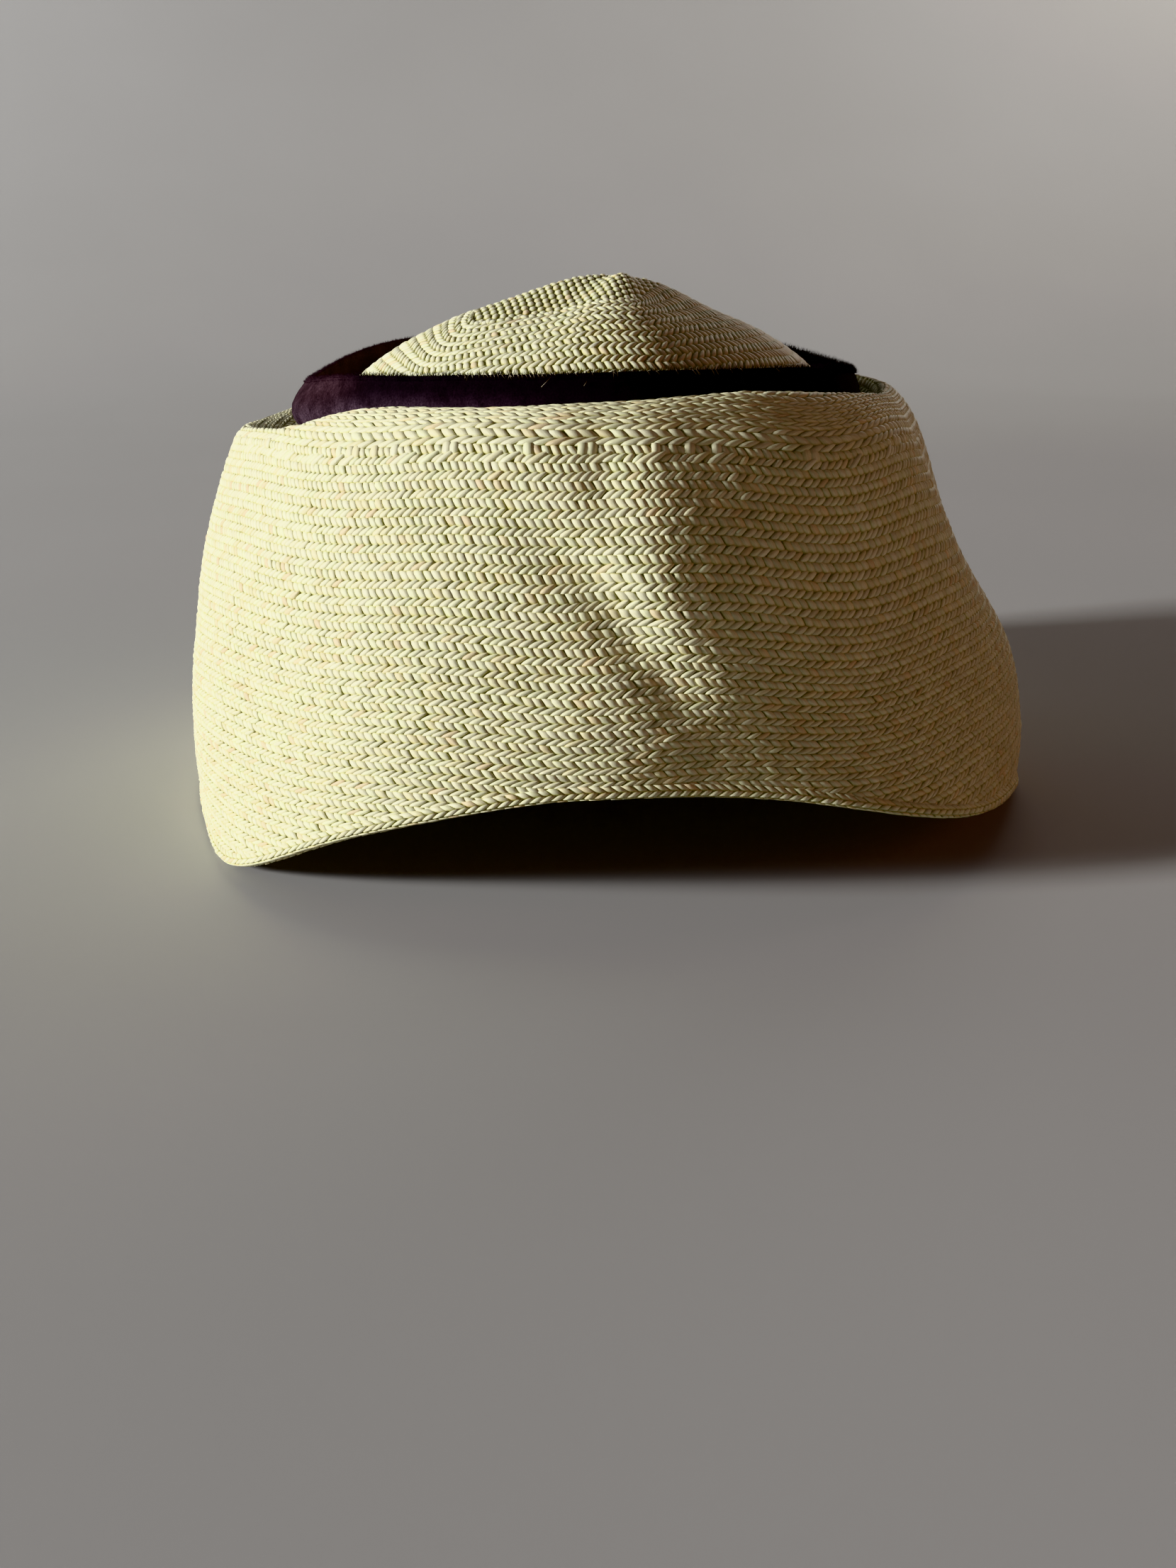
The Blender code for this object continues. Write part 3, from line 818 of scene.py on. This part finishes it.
def brim_cells(rng, rim, valley):
    """Half rows of the whole wall as cells."""
    parts = []
    for half in range(math.floor(valley.min() * 2.0), math.ceil(rim.max() * 2.0)):
        v0, v1 = half * 0.5, half * 0.5 + 0.5
        row, kind = divmod(half, 2)
        down, up, count, rise = LEAN_DOWN, LEAN_UP, STITCHES_TOP, STITCH_RISE * RISE_TOP
        if half >= 0:
            share = v0 / LEAN_ROWS
            down = LEAN_DOWN + LEAN_DOWN_MORE * share
            up = LEAN_UP * (LEAN_UP_SHARE[0] + LEAN_UP_SHARE[1] * share)
            count, rise = STITCHES_WALL, STITCH_RISE
        lean = up if kind == LEAF else down
        shift = down + TIP_SHIFT if kind == LEAF else 0.0
        phase = (row * (down + up + TIP_SHIFT - 0.5) + shift + lean / 2.0) / count

        def inside(u):
            return ((v1 > read_round(valley, u))
                    & (v0 + EDGE_ROOM < read_round(rim, u) - EDGE_ROWS))

        cells = cells_in_row(rng, count, v0, v1, lean, phase, rise, kind, inside)
        if row == 0:
            odd = rng.random(len(cells["u"])) < ODD_SHARE
            cells["v0"] = cells["v0"] + np.where(odd, ODD_REACH[0], 0.0)
            cells["v1"] = cells["v1"] + np.where(odd, ODD_REACH[1], 0.0)
            cells["rise"] = cells["rise"] * np.where(odd, *ODD_RISE)
            cells["width"] = cells["width"] * np.where(odd, *ODD_WIDTH)
            cells["lean"] = cells["lean"] + np.where(
                odd, ODD_LEAN[0], rng.normal(0.0, ODD_LEAN[1], len(odd)))
        parts.append(cells)
    return join_cells(parts)


def crown_cells(rng, sheet, rows):
    """Half rows round the patch, evenly spaced along each ring."""
    parts = []
    fine = np.linspace(0.0, 1.0, PLACES + 1)
    azimuth, width, share = CROWN_SIDE
    longer = 1.0 + share * bell(np.abs(azimuth_of(fine[:-1])) - azimuth, width)
    probe, last = 0.002, 0.997
    for half in range(math.ceil(rows.max() * 2.0)):
        v0, kind = half * 0.5, half % 2
        ring, _ = sheet.at(fine, np.full(len(fine), v0 + 0.25))
        steps = np.linalg.norm(np.diff(ring, axis=0), axis=1)
        length = np.concatenate([[0.0], np.cumsum(steps / longer)])
        if kind == SLANT:
            count = int(round(length[-1] / STITCH_CROWN))
            phase = rng.random()
        else:
            phase += LEAN_CROWN[0] / 2.0 + TIP_SHIFT - 0.5
        cells = cells_in_row(rng, count, v0, v0 + 0.5, LEAN_CROWN[kind], phase / count,
                             STITCH_RISE * RISE_CROWN, kind)
        place = np.mod(cells["u"], 1.0)
        wide = np.interp(place, length / length[-1], fine)
        step = np.interp(np.minimum(place + probe, 1.0), length / length[-1], fine)
        cells["u"] = wide
        cells["width"] = cells["width"] * np.where(place < last, (step - wide) / probe, 1.0)
        parts.append(pick(cells, v0 + CROWN_ROOM < read_round(rows, wide)))
    return join_cells(parts)


def patch_cells(rng):
    """Twill rows over the patch, clipped to its outline."""
    reach = math.hypot(*PATCH_HALF)
    count = int(reach * 2.0 / PATCH_STITCH)
    parts = []
    for k in range(int(reach * 2.0 / PATCH_ROW)):
        v0 = -reach + k * PATCH_ROW
        u = -reach + (np.arange(count) + 0.5 + 0.5 * (k % 2)) * PATCH_STITCH
        point = np.stack([np.full(count, v0 + PATCH_ROW / 2.0), u], axis=-1)
        u = u[patch_reach(point) < PATCH_LIMIT]
        if len(u):
            parts.append(make_cells(rng, u, PATCH_STITCH, 1.0, v0, v0 + PATCH_ROW, LEAN_PATCH,
                                    0.0, STITCH_RISE * RISE_PATCH, TWILL, LOOSE_PATCH))
    return join_cells(parts)


def edge_cells(rng):
    """Half rows of the turned edge."""
    count = STITCHES_EDGE
    return join_cells([
        cells_in_row(rng, count, half, half + 1.0, LEAN_EDGE[half % 2], 0.5 * (half % 2) / count,
                     STITCH_RISE * RISE_EDGE, half % 2) for half in range(EDGE_HALF_ROWS)])


def brim_core(wall, rim, valley, material):
    """Plain shell just beneath the stitches of the wall."""
    cols, rows = BRIM_CORE_GRID
    u = np.arange(cols) / cols
    start, end = (read_round(v, u) + past for v, past in zip((valley, rim), BRIM_CORE_ENDS))
    v = start[None] + (end - start)[None] * np.linspace(0.0, 1.0, rows)[:, None]
    outer, normal = wall.at(np.broadcast_to(u, v.shape), v)
    profiles = np.concatenate([outer + normal * CORE_OUT, (outer + normal * CORE_IN)[::-1]])
    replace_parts(closed_loop("brim_core", profiles, material, "brim_straw"), "brim")


def edge_core(edge, material):
    """Plain filling of the turned edge."""
    cols, rows = EDGE_CORE_GRID
    u = np.arange(cols) / cols
    v = np.linspace(0.0, EDGE_HALF_ROWS, rows)[:, None] + 0.0 * u[None]
    point, normal = edge.at(np.broadcast_to(u, v.shape), v)
    closed_loop("edge_core", point + normal * CORE_OUT, material, "brim_straw")


def crown_core(dome, material):
    """Plain shell just beneath the stitches of the crown, closed at its foot and its tip."""
    cols, rows = CROWN_CORE_GRID
    size = rows * cols
    foot = read_round(dome.foot, np.arange(cols) / cols)
    share = np.linspace(0.0, 1.0, rows + 1)[1:, None]
    x, y = (TIP[n] + (foot[n] - TIP[n]) * share for n in (0, 1))
    grid = np.stack([x, y, dome.height(x, y)], axis=-1)
    normal = Sheet(grid).normals
    normal = np.where(normal[..., 2:3] < 0.0, -normal, normal)
    layers = [(grid + normal * depth).reshape(-1, 3) for depth in (CORE_OUT, CORE_IN)]
    tips = [np.array(TIP) + UP * depth for depth in (CORE_OUT, CORE_IN)]
    faces = [*grid_faces(rows, cols).tolist(), *(grid_faces(rows, cols)[:, ::-1] + size).tolist()]
    turns = [(j, (j + 1) % cols) for j in range(cols)]
    faces += [[size - cols + j, size - cols + k, 2 * size - cols + k, 2 * size - cols + j]
              for j, k in turns]
    for j, k in turns:
        faces += [[2 * size, k, j], [2 * size + 1, size + j, size + k]]
    piece = add_piece("crown_core", np.concatenate(layers + [tips]), faces, material,
                      "crown_straw")
    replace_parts(piece, "crown")
    work = bmesh.new()
    work.from_mesh(piece.data)
    bmesh.ops.recalc_face_normals(work, faces=work.faces)
    work.to_mesh(piece.data)
    work.free()


# -------- velvet


def smooth_noise(rng, step, count):
    """Closed smooth noise round the ribbon, about -1 to 1."""
    knots = max(int(RIBBON_LENGTH / step), 4)
    values = rng.normal(0.0, NOISE_SPREAD, knots)
    x = np.arange(count) / count * knots
    i = np.floor(x).astype(int)
    f = smooth_step(x - i, 0.0, 1.0)
    return values[i % knots] * (1 - f) + values[(i + 1) % knots] * f


def painted_sheen_and_maroon(azimuths, share, outside):
    """How much painted sheen turns the pile purple and how maroon it is, by azimuth and share
    down.
    """
    left = smooth_step(-azimuths, *PURPLE_LEFT) * smooth_step(azimuths, *PURPLE_END)
    low = smooth_step(share, *PURPLE_LOW)
    folded = smooth_step(-azimuths, *MAROON_LEFT) * smooth_step(azimuths, *MAROON_END)
    painted_sheen = outside * left * (PURPLE_SHARE[0] + PURPLE_SHARE[1] * low)
    maroon = folded * (MAROON_SHARE[0] + MAROON_SHARE[1] * low if outside
                       else MAROON_INNER)
    right = MAROON_FAR * smooth_step(azimuths, *MAROON_RIGHT)
    return np.clip(painted_sheen, 0.0, 1.0), np.clip(maroon + right, 0.0, 1.0)


def make_velvet(rng, material):
    """The ribbon: a soft standing hoop, folded over and fuller on the left. Its points, outward
    directions and colours are returned for the pile."""
    cols, around = RIBBON_GRID
    azimuths = azimuth_of(np.arange(cols) / cols)
    turn = np.radians(azimuths)
    centre = line_round("band_r", azimuths) + BAND_CENTRE
    level = line_round("band_z", azimuths)
    lean = BAND_LEAN * np.sin(turn) ** 2
    place, width, swell, hang = FOLD_END
    fold = bell(turn_from(azimuths, place), width)
    top = BAND_TOP + TOP_WAVE[1] * smooth_noise(rng, TOP_WAVE[0], cols)
    for azimuth, spread, rise in TOP_RISE:
        top = top + rise * bell(turn_from(azimuths, azimuth), spread)
    out_way = np.stack([np.sin(turn), -np.cos(turn), np.zeros(cols)], axis=-1)
    angle = np.arange(around) / around * 2.0 * math.pi
    xs, ys = (np.sign(wave) * np.abs(wave) ** power
              for wave, power in zip((np.cos(angle), np.sin(angle)), RIBBON_ROUND))
    rows, normals, tints = [], [], []
    for x, y in zip(xs, ys):
        share, outer = (1.0 - y) / 2.0, max(x, 0.0)
        ripple = 1.0 + RIPPLE[1] * smooth_noise(rng, RIPPLE[0], cols)
        q = BAND_THICK / 2.0 * x * (1.0 + RIBBON_BULGE * (1.0 - y ** 2)) * ripple
        q = (q - lean * (1.0 - share) ** 2
             + fold * swell * outer * math.sin(math.pi * share ** FOLD_POWER))
        t = top + (BAND_BOTTOM - top) * share - fold * hang * outer * share ** 2
        rows.append(out_way * (centre + q)[:, None] + UP * (level + t)[:, None])
        normals.append(out_way * x + UP * y * RIBBON_UP)
        painted_sheen, maroon = painted_sheen_and_maroon(azimuths, share, x > 0.0)
        tints.append(np.stack([painted_sheen, maroon, np.zeros(cols), np.ones(cols)], axis=-1))
    grid, normals, tints = np.array(rows), unit(np.array(normals)), np.array(tints)
    piece = closed_loop("velvet_ribbon", grid, material, "band_velvet", tint=tints)
    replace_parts(piece, "hat_band")
    return grid, normals, tints


def spikes(name, root, way, side, length, thick, material, **attributes):
    """A piece of thin three-sided spikes."""
    other = np.cross(way, side)
    corners = [root + side * thick, root + (-0.5 * side + 0.87 * other) * thick,
               root + (-0.5 * side - 0.87 * other) * thick, root + way * length]
    pattern = np.array([[0, 1, 3], [1, 2, 3], [2, 0, 3], [0, 2, 1]])
    faces = (pattern[None] + (np.arange(len(root)) * 4)[:, None, None]).reshape(-1, 3)
    add_piece(name, np.stack(corners, axis=1).reshape(-1, 3), faces, material, "band_velvet",
              **attributes)


def make_pile(rng, grid, normals, tints, material):
    """Short fibres all over the ribbon, thickest along its top edge."""
    rows, cols = grid.shape[:2]
    top = rng.random(PILE_COUNT) < PILE_TOP_SHARE
    edge_rows = np.array([round(rows * share) for share in PILE_TOP_PLACES])
    k = np.where(top, edge_rows[rng.integers(0, len(edge_rows), PILE_COUNT)],
                 rng.integers(0, rows, PILE_COUNT))
    j = rng.integers(0, cols, PILE_COUNT)
    f = rng.random((PILE_COUNT, 1))
    base = grid[k, j] * (1 - f) + grid[k, (j + 1) % cols] * f
    out = normals[k, j]
    spread, up = PILE_TOP_WAY
    way = out + rng.normal(0.0, spread, (PILE_COUNT, 3)) + UP * up
    rest = ~top
    outward, spread, down = PILE_WAY
    way[rest] = out[rest] * outward + rng.normal(0.0, spread, (rest.sum(), 3))
    way[rest, 2] -= down
    way = unit(way)
    long = np.where(top, rng.uniform(*PILE_TOP_LONG, PILE_COUNT),
                    rng.uniform(*PILE_LONG, PILE_COUNT))
    long = np.where(azimuth_of(j / cols) < PILE_SHORT, long * 0.5, long)
    side = unit(np.cross(way, rng.normal(0.0, 1.0, (PILE_COUNT, 3))))
    thick = rng.uniform(*PILE_THICK, PILE_COUNT)
    tint = tints[k, j]
    # Painted glints: some fibres on the painted sheen are made bright
    glint = (rng.random(PILE_COUNT) < PILE_GLINT_SHARE) * tint[:, 0]
    tint[:, 2] = glint * rng.uniform(*PILE_GLINT_LEVEL, PILE_COUNT)
    spikes("velvet_pile", base - out * PILE_ROOT, way, side, long[:, None] + PILE_ROOT,
           thick[:, None], material, tint=np.repeat(tint, 4, axis=0))


def make_hairs(rng, grid, normals, material):
    """Pale stray hairs on the front of the ribbon, all but two hanging from its top edge."""
    rows, cols = grid.shape[:2]
    k = np.full(HAIR_COUNT, round(rows * HAIR_TOP))
    k[-2:] = round(rows * HAIR_TWO["top"])
    azimuth = rng.normal(*HAIR_LEFT_PLACE, HAIR_COUNT)
    azimuth[:HAIR_RIGHT] = rng.uniform(*HAIR_RIGHT_PLACE, HAIR_RIGHT)
    azimuth[-2:] = HAIR_TWO["place"]
    j = ((azimuth + 180.0) / 360.0 * cols).astype(int)
    long = rng.uniform(*HAIR_LONG, HAIR_COUNT)
    long[-2:] = HAIR_TWO["long"]
    out = normals[k, j]
    around = np.stack([-out[:, 1], out[:, 0], np.zeros(HAIR_COUNT)], axis=-1)
    outward, down = HAIR_WAY
    way = (out * outward + around * rng.normal(*HAIR_AROUND, HAIR_COUNT)[:, None]
           - UP * down)
    way[-2:] = around[-2:] * np.array(HAIR_TWO["around"]) + UP * HAIR_TWO["up"]
    way = unit(way)
    lift = np.full((HAIR_COUNT, 1), HAIR_LIFT)
    lift[-2:] = HAIR_TWO["lift"]
    spikes("velvet_hairs", grid[k, j] + out * lift, way, unit(np.cross(way, out)),
           long[:, None], HAIR_THICK, material)


# -------- materials


def new_material(name):
    """A material with its node tree and its main shader."""
    material = bpy.data.materials.new(name)
    material.use_nodes = True
    return material, material.node_tree, material.node_tree.nodes["Principled BSDF"]


def fill(tree, made, **inputs):
    """Set inputs of a node, each to a socket or a plain value, and give its first output."""
    for key, value in inputs.items():
        socket = made.inputs[key.replace("_", " ")]
        if isinstance(value, bpy.types.NodeSocket):
            tree.links.new(value, socket)
        else:
            socket.default_value = value
    return made.outputs[0] if made.outputs else None


def node(tree, kind, **inputs):
    """First output of a new node."""
    return fill(tree, tree.nodes.new("ShaderNode" + kind), **inputs)


def noise(tree, scale, detail, roughness=0.5):
    """Cloudy noise by the place on the object."""
    place = tree.nodes.new("ShaderNodeTexCoord").outputs["Object"]
    return node(tree, "TexNoise", Vector=place, Scale=scale, Detail=detail, Roughness=roughness)


def attribute(tree, name, output):
    """A mesh attribute."""
    made = tree.nodes.new("ShaderNodeAttribute")
    made.attribute_name = name
    return made.outputs[output]


def split_tint(tree):
    """The three parts of the tint attribute."""
    made = tree.nodes.new("ShaderNodeSeparateColor")
    tree.links.new(attribute(tree, "tint", "Color"), made.inputs[0])
    return made.outputs[:3]


def ramp(tree, source, stops):
    """Colour ramp of (place, colour) stops on a value."""
    made = tree.nodes.new("ShaderNodeValToRGB")
    elements = made.color_ramp.elements
    for element, (place, colour) in zip(elements, (stops[0], stops[-1])):
        element.position, element.color = place, (*colour, 1.0)
    for place, colour in stops[1:-1]:
        elements.new(place).color = (*colour, 1.0)
    return fill(tree, made, Fac=source)


def mix_colour(tree, factor, first, second, blend="MIX"):
    """Mix of two colours, each a socket or a plain colour."""
    made = tree.nodes.new("ShaderNodeMix")
    made.data_type, made.blend_type = "RGBA", blend
    for socket, value in zip((made.inputs[0], made.inputs[6], made.inputs[7]),
                             (factor, first, second)):
        if isinstance(value, bpy.types.NodeSocket):
            tree.links.new(value, socket)
        else:
            socket.default_value = (*value, 1.0) if socket.type == "RGBA" else value
    return made.outputs[2]


def tinted(tree, colour, *layers):
    """A colour multiplied by ramps, each given as its share, its source and its stops."""
    for share, source, stops in layers:
        colour = mix_colour(tree, share, colour, ramp(tree, source, stops), "MULTIPLY")
    return colour


def scaled(colour, share):
    """A colour made darker or lighter."""
    return tuple(min(part * share, 1.0) for part in colour)


def straw_material(name, tone):
    """Pale straw: each strand its own tone, fine fibres along it, and painted shade that darkens
    the low ends and edges of each strand where it dips under its neighbours.
    """
    material, tree, shader = new_material(name)
    shade, height, hue = split_tint(tree)
    stretch = tree.nodes.new("ShaderNodeVectorMath")
    stretch.operation = "MULTIPLY"
    stretch.inputs[1].default_value = FIBRE_STRETCH
    tree.links.new(attribute(tree, "grain", "Vector"), stretch.inputs[0])
    fibres = node(tree, "TexNoise", Vector=stretch.outputs[0], Scale=1.0, Detail=3.0,
                  Roughness=0.6)
    colour = ramp(tree, shade, ((0.0, scaled(tone, 0.90)), (0.5, tone), (1.0, scaled(tone, 1.08))))
    colour = tinted(tree, colour, (1.0, hue, STRAW_HUES), (0.8, fibres, STRAW_STREAKS),
                    (1.0, height, STRAW_JOINT_SHADE))
    rough = node(tree, "MapRange", Value=fibres, To_Min=STRAW_ROUGH[0], To_Max=STRAW_ROUGH[1])
    relief = node(tree, "Bump", Height=fibres, Strength=0.35, Distance=0.00012)
    fill(tree, shader, Base_Color=colour, Roughness=rough, Specular_IOR_Level=0.35,
         Normal=relief)
    return material


def cloudy_material(name, scale, detail, tones, relief=None, **settings):
    """One tone drifting into another, with some relief where it is asked for."""
    material, tree, shader = new_material(name)
    cloud = noise(tree, scale, detail)
    fill(tree, shader, Base_Color=ramp(tree, cloud, tones), **settings)
    if relief is not None:
        fill(tree, shader, Normal=node(tree, "Bump", Height=cloud, Strength=relief[0],
                                       Distance=relief[1]))
    return material


def core_material(name, tone):
    """Straw seen down between the strands, in a dark tone that is painted shade."""
    return cloudy_material(name, 900.0, 4.0, ((0.3, scaled(tone, 0.6)), (0.7, tone)),
                           (0.4, 0.0002), Roughness=0.85)


def velvet_material(name):
    """Aubergine velvet, near black where the pile lies away from the light."""
    material, tree, shader = new_material(name)
    pile, brushed = noise(tree, 2200.0, 5.0, 0.7), noise(tree, 260.0, 4.0, 0.65)
    colour = VELVET_BLACK
    # The tint's parts mix in the painted sheen, the maroon (partly painted light) and the painted
    # glints
    for share, tone in zip(split_tint(tree), (VELVET_PURPLE, VELVET_MAROON, VELVET_GLINT)):
        colour = mix_colour(tree, share, colour, tone)
    colour = tinted(tree, colour, (1.0, pile, VELVET_DEEP), (1.0, brushed, VELVET_WORN))
    fill(tree, shader, Base_Color=colour, Roughness=1.0, Specular_IOR_Level=0.04,
         Sheen_Weight=0.03, Sheen_Roughness=0.4, Sheen_Tint=VELVET_SHEEN,
         Normal=node(tree, "Bump", Height=pile, Strength=0.7, Distance=0.0005))
    return material


# -------- room


def place_object(made, side, top, away, place):
    """Put an object at a place, by its three axes."""
    made.matrix_world = Matrix([*zip(side, top, away, place), (0.0, 0.0, 0.0, 1.0)])


def toward(azimuth, elevation):
    """Direction of an azimuth and an elevation in radians."""
    return np.array([math.sin(azimuth) * math.cos(elevation),
                     -math.cos(azimuth) * math.cos(elevation), math.sin(elevation)])


def make_camera():
    """The camera of the photograph, fitted to the hat's outlines."""
    data = bpy.data.cameras.new("camera")
    data.sensor_fit = "VERTICAL"
    data.sensor_height = SENSOR
    data.lens = SENSOR * FOCAL_SHARE
    data.clip_start, data.clip_end = 0.01, 20.0
    camera = add_object("camera", data)
    away = toward(-CAMERA_YAW, CAMERA_PITCH)
    level = np.array([math.cos(CAMERA_YAW), -math.sin(CAMERA_YAW), 0.0])
    up = np.cross(level, -away)
    right = math.cos(CAMERA_ROLL) * level + math.sin(CAMERA_ROLL) * up
    top = -math.sin(CAMERA_ROLL) * level + math.cos(CAMERA_ROLL) * up
    place_object(camera, right, top, away, (np.array(CAMERA_PLACE) - SHIFT) * MM)
    bpy.context.scene.camera = camera


def area_light(name, place, target, size, energy, colour):
    """A square lamp at a place and turned towards its target."""
    data = bpy.data.lights.new(name, "AREA")
    data.shape = "SQUARE"
    data.size, data.energy, data.color = size, energy, colour
    away = unit(np.array(place) - np.array(target))
    side = unit(np.cross(UP, away))
    place_object(add_object(name, data), side, np.cross(away, side), away, place)


def make_surround():
    """A plain pale surround, seen past the floor's edge and casting no light of its own."""
    turns = [2.0 * math.pi * k / SURROUND_PLACES for k in range(SURROUND_PLACES)]
    verts = [(r * math.sin(turn), r * math.cos(turn), z) for z, r in SURROUND for turn in turns]
    surround = new_mesh("surround", verts, grid_faces(len(SURROUND), len(turns)))
    material = bpy.data.materials.new("pale_surround")
    material.use_nodes = True
    tree = material.node_tree
    tree.nodes.clear()
    glow = tree.nodes.new("ShaderNodeEmission")
    glow.inputs[0].default_value = SURROUND_TONE
    tree.links.new(glow.outputs[0], tree.nodes.new("ShaderNodeOutputMaterial").inputs[0])
    surround.data.materials.append(material)
    for ray in ("diffuse", "glossy", "transmission", "volume_scatter", "shadow"):
        setattr(surround, "visible_" + ray, False)


def make_ground():
    """A pale floor that sweeps up behind the hat."""
    half, near, start, radius, steps, top = GROUND
    profile = [(near, 0.0), (start, 0.0)]
    for k in range(1, steps + 1):
        angle = math.pi / 2.0 * k / steps
        profile.append((start + radius * math.sin(angle), radius - radius * math.cos(angle)))
    profile.append((start + radius, top))
    verts = [(x, y, z) for y, z in profile for x in (-half, half)]
    faces = [(2 * k, 2 * k + 1, 2 * k + 3, 2 * k + 2) for k in range(len(profile) - 1)]
    ground = new_mesh("ground", verts, faces)
    ground.data.materials.append(cloudy_material("pale_ground", 3.0, 2.0, FLOOR_TONES,
                                                 Roughness=0.9, Specular_IOR_Level=0.1))


def make_room():
    """Floor and surround, a hard low key from the left, two weak fills and a backdrop lamp."""
    make_ground()
    make_surround()
    world = bpy.data.worlds.new("world")
    bpy.context.scene.world = world
    world.use_nodes = True
    sky = world.node_tree.nodes["Background"]
    sky.inputs[0].default_value = SKY_TONE
    sky.inputs[1].default_value = SKY_STRENGTH
    target = np.array(LAMP_TARGET)
    for name, azimuth, elevation, distance, *lamp in LAMPS:
        away = toward(math.radians(azimuth), math.radians(elevation))
        area_light(name, away * distance + target, target, *lamp)
    area_light("backdrop", *BACKDROP_LAMP)
    bpy.context.scene.view_settings.view_transform = "Khronos PBR Neutral"


# -------- build


def make_brim(rng):
    """The wall's weave outside and inside, its turned edge and the shells beneath."""
    wall, rim, valley = make_wall()
    edge = make_edge(wall, rim)
    straw = straw_material("brim_straw_weave", BRIM_TONE)
    core = core_material("brim_straw_core", BRIM_CORE_SHADE)

    def limit(u):
        """How far down the stitches of the wall may reach."""
        return read_round(rim, u) - EDGE_ROWS + EDGE_TUCK

    cells = brim_cells(rng, rim, valley)
    azimuth = azimuth_of(cells["u"])
    for name, low, level in (("front_left", -90.0, "fine"), ("front_right", 0.0, "fine"),
                             ("back_right", 90.0, "plain"), ("back_left", -180.0, "plain")):
        some = pick(cells, (azimuth >= low) & (azimuth < low + 90.0))
        weave_piece("brim_weave_" + name, wall, [(some, level)], straw, "brim_straw", limit)
    some = pick(cells, cells["v0"] > INSIDE_FIRST_ROW)
    weave_piece("brim_weave_inside", wall.turned(INSIDE), [(some, "coarse")], straw,
                "brim_straw", limit)
    weave_piece("brim_edge_weave", edge, [(edge_cells(rng), "plain")], straw, "brim_straw")
    brim_core(wall, rim, valley, core)
    edge_core(edge, core)


def make_dome(rng):
    """The crown's weave outside and inside, its twill patch and the shell beneath."""
    dome = Dome()
    sheet, rows = make_crown(dome)
    patch = Patch(dome)
    straw = straw_material("crown_straw_weave", CROWN_TONE)
    cells = crown_cells(rng, sheet, rows)
    twill = patch_cells(rng)
    front = np.abs(turn_from(azimuth_of(cells["u"]), CROWN_FRONT[0])) < CROWN_FRONT[1]
    for name, surface, batches in (
            ("crown_weave", sheet, [(pick(cells, front), "round"),
                                    (pick(cells, ~front), "plain")]),
            ("crown_patch_weave", patch, [(twill, "round")]),
            ("crown_weave_inside", sheet.turned(INSIDE), [(cells, "coarse")]),
            ("crown_patch_inside", patch.turned(INSIDE), [(twill, "coarse")])):
        weave_piece(name, surface, batches, straw, "crown_straw")
    crown_core(dome, core_material("crown_straw_core", CROWN_CORE_SHADE))


def make_band(rng):
    """The velvet ribbon, its pile and the stray hairs."""
    velvet = velvet_material("band_velvet_pile")
    grid, normals, tints = make_velvet(rng, velvet)
    make_pile(rng, grid, normals, tints, velvet)
    make_hairs(rng, grid, normals, cloudy_material("band_velvet_stray", 700.0, 3.0, HAIR_TONES,
                                                   Roughness=0.5))


def main():
    """Make every piece, the camera and the room."""
    rng = np.random.default_rng(SEED)
    make_brim(rng)
    make_dome(rng)
    make_band(rng)
    make_camera()
    make_room()


main()
